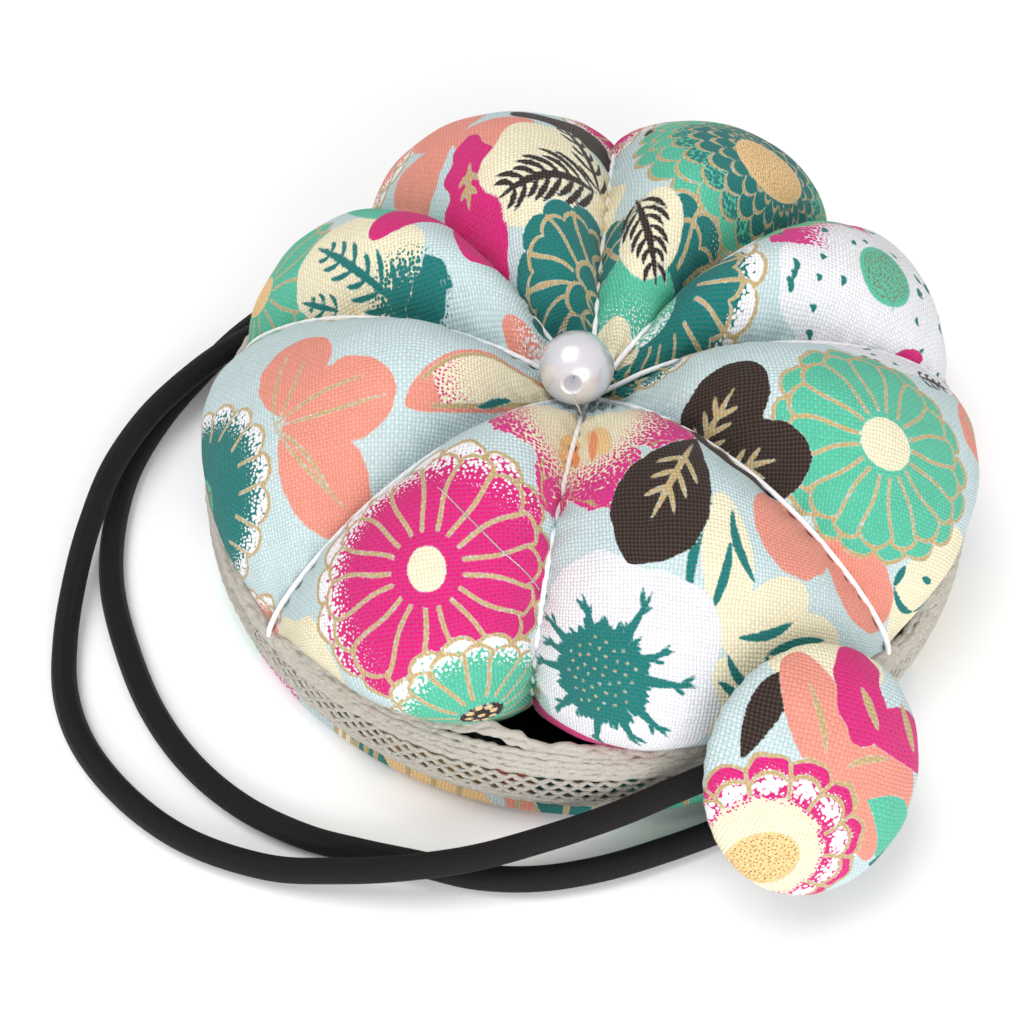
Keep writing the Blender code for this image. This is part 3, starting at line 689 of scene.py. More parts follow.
def draw_right(cloth):
    """The cream leaf with teal strokes, the coral leaf and the mint flower."""
    trefoil(cloth, "coral", (25.0, -23.4), [(15.6, -25.0), (31.5, -17.0), (32.4, -31.0)], 9.4, 0,
            0.85, 0.42)
    for tip, width in (((12.2, -22.8), 4.8), ((20.5, -29.6), 5.4), ((24.8, -33.6), 5.4),
                       ((19.5, -42.5), 6.2), ((11.8, -43.5), 5.4)):
        lay(cloth, "cream", leaf(cloth, (13.0, -36.5), tip, width, 0.0, 0.5, 0.8))
    for start, end, bend in (
        ((9.0, -34.0), (11.2, -23.8), 0.8), ((15.2, -30.2), (13.2, -24.0), 0.7),
        ((11.0, -33.0), (12.8, -27.0), -0.3), ((13.7, -34.9), (19.2, -33.0), -0.5),
        ((16.4, -36.2), (22.8, -34.2), 0.3), ((16.4, -36.2), (17.6, -38.6), 0.1),
        ((12.8, -36.4), (16.0, -39.3), -0.6), ((12.0, -38.6), (15.4, -41.4), 0.3),
    ):
        lay(cloth, "teal", stroke(cloth, start, end, 0.85, bend))
    patch(cloth, "cream", (40.5, -26.0), (8.5, 6.5), 60)
    daisy(cloth, "mint", (30.6, -12.8), 11.0, 17, (2.8, 2.4), 5.0)
    for start, end, bend in (
        ((33.5, -25.6), (37.5, -27.6), -0.9), ((33.5, -25.6), (34.4, -23.2), 0.0),
        ((37.5, -27.6), (41.6, -23.4), -0.7), ((41.0, -29.5), (43.0, -24.0), 0.2),
        ((43.5, -28.5), (45.0, -22.5), 0.2), ((46.0, -26.0), (46.6, -19.5), 0.2),
        ((36.6, -23.8), (38.2, -24.0), 0.0),
    ):
        lay(cloth, "teal", stroke(cloth, start, end, 0.8, bend))


def draw_right_back(cloth):
    """The teal flower over the thread, the white flower with dashes, and the scaled flower."""
    for k in range(6):
        spot = spot_on((34.5, 9.5), 6.5, math.radians(60 * k + 10))
        patch(cloth, "white", spot, (6.5, 6.2), 0, 0.3)
    rho, angle = polar(cloth, (33.0, 11.5))
    sprinkle(cloth, "magenta_dots", np.where(angle > 1.5, (rho - 5.6) / 4.5, 0.0), 12.0 - rho)
    for k in range(SPECKS):
        turn = GOLDEN_ANGLE * k + 0.25 * math.sin(5.7 * k)
        out = 4.6 + 7.0 * math.sqrt((k + 0.5) / SPECKS) + math.sin(9.1 * k)
        start = spot_on((33.5, 9.5), out, turn)
        end = spot_on(start, 1.1 + 0.4 * math.sin(4.0 * k), turn + 1.9)
        lay(cloth, "teal", stroke(cloth, start, end, 0.6, 0.25))
    eye = (33.4, 12.2)
    lay(cloth, "mint", oval(cloth, eye, (3.8, 3.0), 30))
    sprinkle(cloth, "gold_dots", 0.3, oval(cloth, eye, (3.4, 2.6), 30))
    lay(cloth, "magenta", leaf(cloth, (36.5, 5.0), (41.0, 6.4), 2.0))
    fern(cloth, "brown", (37.0, -1.5), (42.5, 0.0), 4, 1.5, 0.6)
    scales(cloth, (20.4, 28.4), 14.0, 21, 6)
    eye = (20.8, 28.6)
    lay(cloth, "apricot", oval(cloth, eye, (5.2, 3.5), 35))
    sprinkle(cloth, "gold_dots", 0.2, oval(cloth, eye, (4.9, 3.2), 35))
    hub, petals = (8.6, 8.6), 19
    ring = scalloped(cloth, hub, 11.8, petals, 0.0, PETAL_DEPTH)
    lay(cloth, "teal", ring)
    rho, angle = polar(cloth, hub)
    edge = np.clip(1.6 - np.abs(angle + 0.5), 0.0, 1.0)
    sprinkle(cloth, "white_dots", (rho - 8.8) / 2.2 * edge, ring)
    lay(cloth, "gold", spokes(cloth, hub, 5.4, 11.2, petals))
    outlined(cloth, ring)
    lay(cloth, "gold", LINE - np.abs(scalloped(cloth, hub, 9.6, petals, 180.0 / petals,
                                               PETAL_DEPTH)))
    heart = oval(cloth, (6.4, 9.2), (5.0, 5.6), 60)
    lay(cloth, "mint", heart)
    sprinkle(cloth, "white_dots", 0.5 - (cloth["y"] - 5.0) * 0.08, heart)
    lay(cloth, "cream", oval(cloth, (3.6, 5.4), (2.4, 3.0), 50))
    patch(cloth, "cream", (7.8, 15.8), (3.0, 4.6), -20, 0.3)
    fern(cloth, "brown", (6.4, 20.6), (8.4, 11.2), 7, 2.9, 0.72)


def draw_left_back(cloth):
    """The teal flower behind the pearl, the patch with a brown fern, and the magenta petals."""
    patch(cloth, "mint", (-24.5, 24.0), (4.6, 9.0), 30)
    trefoil(cloth, "coral", (-14.0, 31.0), [(-24.0, 28.0), (-6.4, 27.6), (-16.0, 41.0)], 8.4, 0)
    lay(cloth, "magenta", leaf(cloth, (-12.2, 30.0), (-14.8, 10.6), 7.8, 0.8, 0.5, 0.9)
        + wobble(cloth, 0.5, 3.0))
    lay(cloth, "magenta", leaf(cloth, (-13.0, 20.0), (-25.0, 14.6), 4.4, -0.8))
    veins(cloth, (-12.4, 26.0), (-13.4, 21.4), 2, 1.2, 0.6)
    veins(cloth, (-15.0, 18.4), (-13.8, 13.6), 2, 1.2, 0.6)
    patch(cloth, "brown", (-2.6, 35.6), (6.4, 4.4), -10, 0.3)
    patch(cloth, "cream", (-3.0, 23.8), (8.4, 7.8), 20, 0.6)
    fern(cloth, "brown", (0.6, 24.6), (-10.2, 20.6), 8, 4.0, 0.85)
    fern(cloth, "brown", (1.2, 25.0), (-4.0, 33.0), 5, 2.4, 0.72)
    hub, petals = (0.4, 11.6), 15
    ring = scalloped(cloth, hub, 9.6, petals, 0.0, 1.0)
    ring = np.minimum(ring, 3.4 - 0.55 * cloth["x"])
    lay(cloth, "teal", ring)
    lay(cloth, "gold", np.minimum(spokes(cloth, hub, 3.0, 9.0, petals), ring - 0.4))
    lay(cloth, "gold", np.minimum(LINE - np.abs(
        scalloped(cloth, hub, 8.2, petals, 12.0, 1.0)), ring - 0.4))
    tip = leaf(cloth, (-4.0, 2.4), (-11.4, 5.4), 3.6, 0.4)
    lay(cloth, "coral", tip)
    sprinkle(cloth, "white_dots", 0.5 + 0.12 * (cloth["x"] + 7.0), tip)


def draw_left(cloth):
    """The cream patch with a teal fern, the coral leaves, the teal flower and the striped leaf."""
    daisy(cloth, "mint", (-40.6, 18.5), 10.6, 14, (2.4, 2.4), 0.0, "apricot")
    patch(cloth, "cream", (-27.0, 12.2), (8.0, 6.6), 140, 0.5)
    fern(cloth, "teal", (-22.6, 7.6), (-31.4, 17.6), 6, 3.0, 0.75)
    fern(cloth, "teal", (-29.5, 9.5), (-34.0, 12.5), 3, 1.6, 0.6)
    rho = np.hypot(cloth["x"] + 21.6, cloth["y"] - 8.0)
    sprinkle(cloth, "teal_dots", 1.2 - rho / 4.4, 5.0 - rho)
    lay(cloth, "teal", oval(cloth, (-19.6, 8.0), (3.0, 1.9), 60) + wobble(cloth, 0.5))
    lay(cloth, "teal", stroke(cloth, (-22.5, 4.6), (-30.5, 5.8), 0.9))
    hub, eye, petals = (-45.0, -12.6), (-45.6, -12.4), 17
    ring = scalloped(cloth, hub, 10.6, petals, 0.0, 1.2)
    lay(cloth, "teal", ring)
    rho, _ = polar(cloth, hub)
    sprinkle(cloth, "white_dots", (rho / 10.6 - 0.68) * 2.9, ring - 0.2)
    lay(cloth, "gold", spokes(cloth, hub, 6.6, 10.0, petals))
    outlined(cloth, ring)
    lay(cloth, "mint", oval(cloth, eye, (2.8, 2.6)))
    sprinkle(cloth, "gold_dots", 0.5, oval(cloth, eye, (2.5, 2.3)))
    trefoil(cloth, "coral", (-32.6, -8.6), [(-31.6, 1.2), (-22.0, -8.4), (-26.4, -21.0)], 8.2, 0,
            0.8)
    for tip in ((-31.8, -1.4), (-23.6, -7.8), (-27.4, -18.0)):
        for part in (-0.16, 0.16):
            lay(cloth, "gold", stroke(cloth, (-34.0, -9.0), (tip[0] - 6 * part, tip[1] + 6 * part),
                                      0.34, 8 * part * 0.4))
    striped = leaf(cloth, (-4.4, -2.2), (-21.2, -9.8), 6.4, -0.8, 0.6, 1.0)
    lay(cloth, "coral", striped)
    far = np.hypot(cloth["x"] + 8.0, cloth["y"] + 4.6)
    heart = striped - 0.5
    lay(cloth, "cream", np.minimum(heart, 11.0 - far))
    sprinkle(cloth, "magenta_dots", (far - 6.0) / 12.0, np.minimum(heart, 11.0 - far))
    lay(cloth, "gold", np.minimum(LINE - np.abs(striped - 0.6), 12.0 - far))
    lay(cloth, "teal", stroke(cloth, (-10.8, -6.6), (-14.6, -8.8), 0.7))


def draw_far_side(cloth):
    """Motifs for the back and the turned-in edge."""
    daisy(cloth, "magenta", (4.0, 45.5), 9.0, 15, (1.9, 1.9), 0.0, tips="white_dots")
    daisy(cloth, "coral", (-24.0, 42.0), 8.6, 13, (2.0, 2.0), 10.0, tips="white_dots")
    daisy(cloth, "teal", (28.0, 43.0), 8.0, 15, (1.8, 1.8), 0.0, "apricot", tips="white_dots")
    trefoil(cloth, "brown", (14.0, 38.0), [(12.0, 46.0), (20.0, 40.5), (9.0, 34.5)], 5.0)
    daisy(cloth, "magenta", (46.5, 20.0), 8.4, 15, (1.8, 1.8), 20.0, tips="white_dots")
    trefoil(cloth, "coral", (44.0, -1.0), [(46.0, 8.0), (51.0, -2.0), (45.5, -9.0)], 6.4)
    trefoil(cloth, "brown", (-49.5, 3.0), [(-45.0, 9.0), (-54.0, 7.0), (-50.0, -4.0)], 4.8)
    daisy(cloth, "coral", (-42.0, -31.0), 7.6, 13, (1.8, 1.8), 0.0, tips="white_dots")
    daisy(cloth, "mint", (26.0, -44.0), 8.4, 14, (2.0, 2.0), 0.0, tips="white_dots")
    daisy(cloth, "magenta", (-29.0, -47.0), 7.0, 13, (1.6, 1.6), 0.0, tips="white_dots")
    fern(cloth, "teal", (36.0, 33.0), (40.0, 26.0), 6, 2.4)
    fern(cloth, "brown", (-36.0, 31.0), (-31.0, 36.0), 6, 2.4)


def draw_cushion(cloth):
    """The whole picture, from the ground up."""
    draw_far_side(cloth)
    draw_left(cloth)
    draw_left_back(cloth)
    draw_right_back(cloth)
    draw_right(cloth)
    draw_front(cloth)
    draw_front_middle(cloth)


def printed_marks(cloth, shape):
    """The cloth's inks and dots as marks on the points of a grid, four to a colour."""
    def pack(names):
        """Up to four fields as a colour. A channel that is left over is far from any ink."""
        fields = [cloth[name] for name in names]
        fields += [np.full_like(fields[0], FAR_AWAY)] * (4 - len(fields))
        return np.stack(fields, -1).reshape(*shape, 4)

    return {"inks_1": pack(INKS[:4]), "inks_2": pack(INKS[4:8]), "inks_3": pack(INKS[8:]),
            "dots": pack(DOTS)}


cushion_cloth = new_cloth(flat_x, flat_y)
draw_cushion(cushion_cloth)
cushion_marks = {"cloth": flat, **printed_marks(cushion_cloth, flat_x.shape)}
print("printed", len(INKS), "inks on", flat_x.size, "points")

# %% [markdown]
# ## Finishes
#
# A finish is a node tree. Small helpers keep the trees readable: they add a node and join its
# inputs, do sums, mix two colours, read a mark or a place, and add a bump. What several finishes
# share is a node group, built once: the plain weave, and the inks.


# %% Helpers for node trees
def node(tree, kind, inputs=None, **settings):
    """Add a node; an input is given a value, or a socket to join to."""
    made = tree.nodes.new(kind)
    for name, value in settings.items():
        setattr(made, name, value)
    for socket, value in (inputs or {}).items():
        if isinstance(value, bpy.types.NodeSocket):
            tree.links.new(value, made.inputs[socket])
        else:
            made.inputs[socket].default_value = value
    return made


def calc(tree, operation, a, b=0.0, c=0.0, clamp=False):
    """A sum of one, two or three values."""
    return node(tree, "ShaderNodeMath", {0: a, 1: b, 2: c}, operation=operation,
                use_clamp=clamp).outputs[0]


def mixed(tree, part, a, b):
    """Colour a where part is 0 and colour b where it is 1."""
    return node(tree, "ShaderNodeMix", {0: part, 6: a, 7: b}, data_type="RGBA").outputs[2]


def noise(tree, place, size, detail=2.0, roughness=0.5):
    """A smooth random value of about 0.5, in patches of one size."""
    return node(tree, "ShaderNodeTexNoise", {"Vector": place, "Scale": 1.0 / size,
                "Detail": detail, "Roughness": roughness}).outputs[0]


def mark(tree, name):
    """A mark that a mesh carries on its points."""
    return node(tree, "ShaderNodeAttribute", attribute_name=name).outputs


def split_up(tree, vector):
    """The three numbers of a vector."""
    return node(tree, "ShaderNodeSeparateXYZ", {0: vector}).outputs


def place_on(tree):
    """The place of a point in its object's own coordinates, in metres."""
    return node(tree, "ShaderNodeTexCoord").outputs["Object"]


def ranged(tree, value, low, high):
    """A value of 0 to 1 spread over low to high."""
    return node(tree, "ShaderNodeMapRange", {"Value": value, "To Min": low,
                "To Max": high}).outputs[0]


def add_bump(tree, shader, height, strength, distance):
    """Join a height to the shader's normal: distance is the depth of a full step, in metres."""
    bump = node(tree, "ShaderNodeBump", {"Strength": strength, "Distance": distance,
                "Height": height})
    tree.links.new(bump.outputs[0], shader.inputs["Normal"])


def settle(shader, **values):
    """Give inputs of a shader fixed values. A name is written with _ for a space."""
    for name, value in values.items():
        shader.inputs[name.replace("_", " ")].default_value = value


def paint(red, green, blue):
    """A colour from the 0 to 255 numbers of a paint chart, made linear."""
    return tuple((value / 255) ** 2.2 for value in (red, green, blue)) + (1.0,)


def new_group(name, inputs, outputs):
    """An empty node group with named inputs and outputs, and its two ends."""
    tree = bpy.data.node_groups.new(name, "ShaderNodeTree")
    for label, kind in inputs:
        tree.interface.new_socket(label, in_out="INPUT", socket_type="NodeSocket" + kind)
    for label, kind in outputs:
        tree.interface.new_socket(label, in_out="OUTPUT", socket_type="NodeSocket" + kind)
    return tree, tree.nodes.new("NodeGroupInput").outputs, tree.nodes.new("NodeGroupOutput").inputs


def new_finish(name):
    """A material with a Principled BSDF, and its tree."""
    finish = bpy.data.materials.new(name)
    finish.use_nodes = True
    return finish, finish.node_tree, finish.node_tree.nodes["Principled BSDF"]


# %% [markdown]
# Plain weave: warp and weft threads pass over and under each other in turn. Across a thread the
# height is the sine of half a turn, and along it the thread rises where it passes over. The higher
# of the two threads is the one that shows. Every thread also gets a tone of its own, a little
# lighter or darker along its length, because spun yarn isn't even.


# %% The weave
def make_weave():
    """Height is the larger of warp and weft: |sin pi u| (1 + sin pi(v + floor u)) / 2, and the same
    with u and v exchanged and shifted by one. Shade is 1, with painted shade darker in the gaps, and
    varies by thread."""
    tree, given, out = new_group("plain_weave", [("Place", "Vector"), ("Pitch", "Float")],
                                 [("Height", "Float"), ("Shade", "Float")])
    drift = node(tree, "ShaderNodeTexNoise", {"Vector": given["Place"], "Scale": 0.16,
                 "Detail": 1.0}).outputs["Color"]
    drifted = node(tree, "ShaderNodeVectorMath", {0: drift, 1: (1.1, 1.1, 1.1),
                   2: given["Place"]}, operation="MULTIPLY_ADD").outputs[0]
    split = split_up(tree, drifted)
    u = calc(tree, "DIVIDE", split[0], given["Pitch"])
    v = calc(tree, "DIVIDE", split[1], given["Pitch"])
    heights, tones = [], []
    for across, along, shift in ((u, v, 0.0), (v, u, 1.0)):
        row = calc(tree, "FLOOR", across)
        crown = calc(tree, "ABSOLUTE", calc(tree, "SINE", calc(tree, "MULTIPLY", across, math.pi)))
        phase = calc(tree, "ADD", calc(tree, "ADD", along, row), shift)
        rise = calc(tree, "SINE", calc(tree, "MULTIPLY", phase, math.pi))
        heights.append(calc(tree, "MULTIPLY", crown, calc(tree, "MULTIPLY_ADD", rise, 0.5, 0.5)))
        spot = node(tree, "ShaderNodeCombineXYZ", {
            0: calc(tree, "MULTIPLY_ADD", row, 7.31, 3.7 * shift),
            1: calc(tree, "MULTIPLY", along, 0.12)}).outputs[0]
        tones.append(noise(tree, spot, 1.0, 1.0))
    height = calc(tree, "MAXIMUM", heights[0], heights[1])
    weft_shows = calc(tree, "GREATER_THAN", heights[1], heights[0])
    tone = node(tree, "ShaderNodeMix", {0: weft_shows, 2: tones[0], 3: tones[1]},
                data_type="FLOAT").outputs[0]
    # Painted shade: the gaps between the threads are darkened, as shade would fall in them.
    gap = calc(tree, "POWER", calc(tree, "SUBTRACT", 1.0, height), 1.5)
    level = calc(tree, "MULTIPLY_ADD", weft_shows, -0.1, 0.96)
    shade = calc(tree, "MULTIPLY_ADD", gap, -0.34, level)
    tree.links.new(height, out["Height"])
    tree.links.new(calc(tree, "MULTIPLY_ADD", tone, 0.26, shade), out["Shade"])
    return tree


WEAVE = make_weave()
print("weave nodes:", len(WEAVE.nodes))

# %% [markdown]
# The inks group reads the marks of the print. An ink shows where its distance is above zero, and
# the step is made a little uneven by the threads. The dots are the cells of a Voronoi pattern,
# drawn larger where the sprinkled density is higher. Ink only reaches the top of the threads, so a
# little undyed cotton shows in the gaps between them.

# %% The inks
GROUND = paint(196, 215, 217)
UNDYED = paint(206, 203, 198)
INK_COLOURS = {
    "white": paint(232, 232, 236), "cream": paint(240, 229, 196), "magenta": paint(210, 26, 116),
    "coral": paint(234, 146, 128), "mint": paint(84, 188, 156), "teal": paint(0, 114, 110),
    "brown": paint(48, 32, 24), "gold": paint(192, 166, 116), "apricot": paint(240, 198, 138),
    "orange": paint(240, 148, 96), "wine": paint(158, 28, 62),
}
DOT_COLOURS = {
    "white_dots": paint(244, 243, 245), "magenta_dots": paint(216, 44, 132),
    "teal_dots": paint(20, 120, 116), "gold_dots": paint(128, 92, 50),
}
EDGE_SOFTNESS = 0.12
DOT_SIZE = 0.4


def make_inks():
    """Colour: the ground, then each ink over it where its mark plus a small uneven offset is above
    zero, the dots, the gold lines, and undyed cotton in the gaps of the weave."""
    tree, given, out = new_group("printed_inks", [("Place", "Vector"), ("Height", "Float")],
                                 [("Color", "Color")])
    uneven = calc(tree, "MULTIPLY_ADD", noise(tree, given["Place"], 0.45, 1.0), 0.26, -0.13)
    uneven = calc(tree, "MULTIPLY_ADD", given["Height"], 0.10, calc(tree, "SUBTRACT", uneven, 0.05))
    fields = {}
    for start, name in ((0, "inks_1"), (4, "inks_2"), (8, "inks_3")):
        layer = mark(tree, name)
        split = node(tree, "ShaderNodeSeparateColor", {0: layer["Color"]}).outputs
        values = (split[0], split[1], split[2], layer["Alpha"])
        fields.update(zip(INKS[start:start + 4], values))
    colour = GROUND

    def over(colour, ink):
        """A colour with an ink laid on it where the ink's field is above zero."""
        level = calc(tree, "ADD", fields[ink], uneven)
        part = calc(tree, "MULTIPLY_ADD", level, 1.0 / EDGE_SOFTNESS, 0.5, clamp=True)
        return mixed(tree, part, colour, INK_COLOURS[ink])

    for ink in INKS:
        if ink != "gold":
            colour = over(colour, ink)
    layer = mark(tree, "dots")
    split = node(tree, "ShaderNodeSeparateColor", {0: layer["Color"]}).outputs
    cells = node(tree, "ShaderNodeTexVoronoi", {"Vector": given["Place"], "Scale": 1.0 / DOT_SIZE,
                 "Randomness": 0.9}, voronoi_dimensions="2D").outputs["Distance"]
    for dots, density in zip(DOTS, (split[0], split[1], split[2], layer["Alpha"])):
        reach = calc(tree, "SUBTRACT", calc(tree, "MULTIPLY", density, 0.95), cells)
        part = calc(tree, "MULTIPLY_ADD", reach, 7.0, 0.35, clamp=True)
        part = calc(tree, "MULTIPLY", part, calc(tree, "GREATER_THAN", density, 0.02))
        colour = mixed(tree, part, colour, DOT_COLOURS[dots])
    colour = over(colour, "gold")
    gap = calc(tree, "POWER", calc(tree, "SUBTRACT", 1.0, given["Height"]), 2.0)
    colour = mixed(tree, calc(tree, "MULTIPLY", gap, 0.13, clamp=True), colour, UNDYED)
    tree.links.new(colour, out["Color"])
    return tree


PRINT = make_inks()
print("ink nodes:", len(PRINT.nodes))


# %% Printed cotton
def make_cotton(name, turn=0.0, pitch=0.36):
    """The inks times the weave's shade, with the weave as a bump. turn is the weave's angle in
    degrees to the cloth's own axes: a button is cut on the cross."""
    finish, tree, shader = new_finish(name)
    place = mark(tree, "cloth")["Vector"]
    turned = node(tree, "ShaderNodeMapping", {"Vector": place,
                  "Rotation": (0.0, 0.0, math.radians(turn))}).outputs[0]
    weave = node(tree, "ShaderNodeGroup", node_tree=WEAVE)
    tree.links.new(turned, weave.inputs["Place"])
    weave.inputs["Pitch"].default_value = pitch
    inks = node(tree, "ShaderNodeGroup", node_tree=PRINT)
    tree.links.new(place, inks.inputs["Place"])
    tree.links.new(weave.outputs["Height"], inks.inputs["Height"])
    shaded = node(tree, "ShaderNodeVectorMath", {0: inks.outputs["Color"],
                  1: weave.outputs["Shade"]}, operation="MULTIPLY").outputs[0]
    tree.links.new(shaded, shader.inputs["Base Color"])
    add_bump(tree, shader, weave.outputs["Height"], 1.0, 0.0001)
    settle(shader, Roughness=0.88, Specular_IOR_Level=0.16, Sheen_Weight=0.1, Sheen_Roughness=0.5)
    return finish


cotton = make_cotton("printed_cotton")
print("cotton ready")

# %% [markdown]
# ## The cushion
#
# The grid of points from above becomes the stuffed cover. It is one skin, closed at the pit and at
# the gathered bottom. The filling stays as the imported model's own solid inside it.


# %% Make the cushion
def finished(piece, finish, body, slot, *nodes):
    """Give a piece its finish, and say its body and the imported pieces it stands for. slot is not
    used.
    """
    piece.data.materials.clear()
    piece.data.materials.append(finish)
    if nodes:
        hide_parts(*nodes)
    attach(piece, body)
    return piece


cushion = skin("cushion", grid, marks=cushion_marks)
finished(cushion, cotton, "root", "printed_cotton", "cushion_cover")
print("cushion faces:", len(cushion.data.polygons))

# %% [markdown]
# ## Threads
#
# A white thread lies in each of the eight valleys, from the knot in the pit over the edge and in
# under the cushion. It is pulled tight, so it follows the valley's outline and stands just clear of
# the crease. Two plies are twisted together: the finish shows them as a spiral of shade and bump.


# %% Twisted thread
def make_thread_finish(name, colour, roughness, pitch):
    """Two plies: stripes at (2 x turns + mm / pitch), with painted shade between them, and fine
    fibres.
    """
    finish, tree, shader = new_finish(name)
    split = split_up(tree, mark(tree, "along")["Vector"])
    spiral = calc(tree, "MULTIPLY_ADD", split[0], 2.0, calc(tree, "DIVIDE", split[1], pitch))
    ply = calc(tree, "ABSOLUTE", calc(tree, "SINE", calc(tree, "MULTIPLY", spiral, math.pi)))
    place = place_on(tree)
    fibres = noise(tree, place, 0.00012, 3.0, 0.7)
    level = calc(tree, "MULTIPLY_ADD", fibres, 0.5, ply)
    shade = calc(tree, "MULTIPLY_ADD", level, 0.14, 0.83, clamp=True)
    # Painted shade: grey is mixed in the grooves between the two plies.
    tree.links.new(mixed(tree, shade, paint(90, 88, 90), colour), shader.inputs["Base Color"])
    add_bump(tree, shader, level, 0.6, 0.00005)
    settle(shader, Roughness=roughness, Sheen_Weight=0.15)
    return finish


white_thread = make_thread_finish("white_thread", paint(246, 244, 246), 0.5, 1.1)
THREAD_RADIUS = 0.27
THREAD_LIFT = 0.6
THREAD_TURNED_IN_TO = 24.0
RIM_HEIGHT = 12.0
valley_marks = np.linspace(0.25, len(VALLEY_OUTLINE) - 1.2, 900)
threads = []
for index, azimuth in enumerate(VALLEY_AZIMUTHS):
    outline = valley_at(index, valley_marks)
    slope = unit(np.gradient(outline, axis=0))
    lifted = outline + np.column_stack([-slope[:, 1], slope[:, 0]]) * THREAD_LIFT
    a = math.radians(azimuth)
    path = np.column_stack([lifted[:, 0] * math.cos(a), lifted[:, 0] * math.sin(a), lifted[:, 1]])
    kept = (lifted[:, 1] > RIM_HEIGHT) | (lifted[:, 0] > THREAD_TURNED_IN_TO)
    path = evenly(path[kept][::12], 0.22)
    tube = tube_grid(path, (-math.sin(a), math.cos(a), 0.0), THREAD_RADIUS, 12)
    thread = skin(f"thread_{index + 1}", tube, marks={"along": tube_marks(tube)})
    threads.append(finished(thread, white_thread, "root", "white_thread",
                            f"lobe_thread_{index + 1}"))
print("threads:", len(threads), "the last one", round(distance_along(path)[-1]), "mm")

# %% [markdown]
# ## The pearl
#
# An imitation pearl, bored through, on a loop of clear nylon. The hole looks out towards the front.
# The bead is a profile turned round the bore's axis: out along the ball, then back through the
# hole, with the hole's edges rounded by the coating. The bore has a painted glow: a faint emission
# that stands in for light soaking through the ball.


# %% Turn profiles about any axis
def around_axis(profile, centre, axis, steps):
    """Points of a profile of (radius, height) turned round an axis through a centre. The first
    column is level, to the right of the axis."""
    axis = unit(np.asarray(axis, float))
    right = unit(np.cross((0.0, 0.0, 1.0), axis)) if abs(axis[2]) < 0.999 else np.array([1.0, 0, 0])
    up = np.cross(axis, right)
    profile = np.asarray(profile, float)
    turn = 2 * np.pi * np.arange(steps) / steps
    spoke = np.cos(turn)[:, None] * right + np.sin(turn)[:, None] * up
    return (np.asarray(centre, float) + profile[:, None, :1] * spoke[None]
            + profile[:, None, 1:] * axis)


def direction(azimuth, elevation):
    """The unit vector at an azimuth and an elevation in degrees."""
    a, e = math.radians(azimuth), math.radians(elevation)
    return np.array([math.cos(e) * math.cos(a), math.cos(e) * math.sin(a), math.sin(e)])


# %% Make the pearl
PEARL_CENTRE = (-1.4, -1.6, 22.3)
PEARL_RADIUS = 3.6
BORE_RADIUS = 0.85
BORE_DIRECTION = direction(-99.8, 22.0)
lip = math.acos((BORE_RADIUS + 0.22) / PEARL_RADIUS)
ball = [(PEARL_RADIUS * math.cos(a), PEARL_RADIUS * math.sin(a))
        for a in np.linspace(lip, -lip, 60)]
mouth = [(BORE_RADIUS + 0.05, PEARL_RADIUS * 0.93), (BORE_RADIUS, PEARL_RADIUS * 0.88)]
bore = [(BORE_RADIUS, height) for height in np.linspace(-0.85, 0.85, 10) * PEARL_RADIUS]
profile = ball + [(radius, -height) for radius, height in mouth] + bore + mouth[::-1]
pearl_grid = around_axis(profile, PEARL_CENTRE, BORE_DIRECTION, 96)
in_bore = np.zeros(pearl_grid.shape)
in_bore[len(ball):] = 1.0
pearl = skin("pearl", pearl_grid, along=True, marks={"bored": in_bore})

pearl_finish, tree, shader = new_finish("pearl_coating")
place = place_on(tree)
cloudy = noise(tree, place, 0.003, 2.0)
tree.links.new(mixed(tree, cloudy, paint(234, 230, 235), paint(216, 216, 222)),
               shader.inputs["Base Color"])
add_bump(tree, shader, noise(tree, place, 0.0012, 2.0), 0.12, 0.0001)
settle(shader, Metallic=0.45, Roughness=0.24, Coat_Weight=0.8, Coat_Roughness=0.05,
       Subsurface_Weight=0.25, Subsurface_Scale=0.003, Emission_Strength=0.24)
# Painted glow: the bore emits a faint light, standing in for light that soaks through the ball.
tree.links.new(mixed(tree, mark(tree, "bored")["Fac"], (0.0, 0.0, 0.0, 1.0), paint(214, 212, 216)),
               shader.inputs["Emission Color"])
finished(pearl, pearl_finish, "pearl", "pearl", "pearl_bead")
print("pearl", 2 * PEARL_RADIUS, "mm, bored", 2 * BORE_RADIUS, "mm")

# %% [markdown]
# The nylon is a clear monofilament. It comes up from the knot, goes in at the front hole, out at
# the back and down to the knot again. Its own small knot lies beside the pit, and a cut end of it
# rests on the cloth of the near left lobe.

# %% Thread the pearl
nylon, tree, shader = new_finish("clear_nylon")
place = place_on(tree)
tree.links.new(ranged(tree, noise(tree, place, 0.0005), 0.05, 0.22), shader.inputs["Roughness"])
settle(shader, Base_Color=paint(236, 238, 240), IOR=1.53, Transmission_Weight=0.75)

bore_points = [np.array(PEARL_CENTRE) + BORE_DIRECTION * PEARL_RADIUS * part
               for part in (1.0, 0.5, 0.0, -0.5, -1.0)]
filament_path = evenly(
    [(-0.6, -2.2, 18.0), (-0.8, -3.9, 18.5), (-0.95, -5.4, 20.0), (-1.25, -6.1, 21.6),
     (-1.9, -5.9, 23.4), *bore_points, (-0.7, 2.7, 20.4), (-0.5, 2.7, 19.3), (-0.3, 1.6, 18.7)],
    0.15)
filament_knot = evenly([(0.0, -3.6, 18.6), (1.0, -4.9, 19.4), (1.9, -4.0, 19.6), (1.3, -3.0, 19.3),
                        (0.5, -3.8, 19.1), (1.4, -5.4, 19.5), (2.7, -6.0, 20.0)], 0.12)


def resting(piece, plan, lift):
    """Points that rest on a piece straight below the points of a plan, lift mm off it."""
    bpy.context.view_layer.update()
    hits = [piece.ray_cast((x * MM, y * MM, 0.1), (0.0, 0.0, -1.0)) for x, y in plan]
    return np.array([np.array(hit[1]) / MM + np.array(hit[2]) * lift for hit in hits])


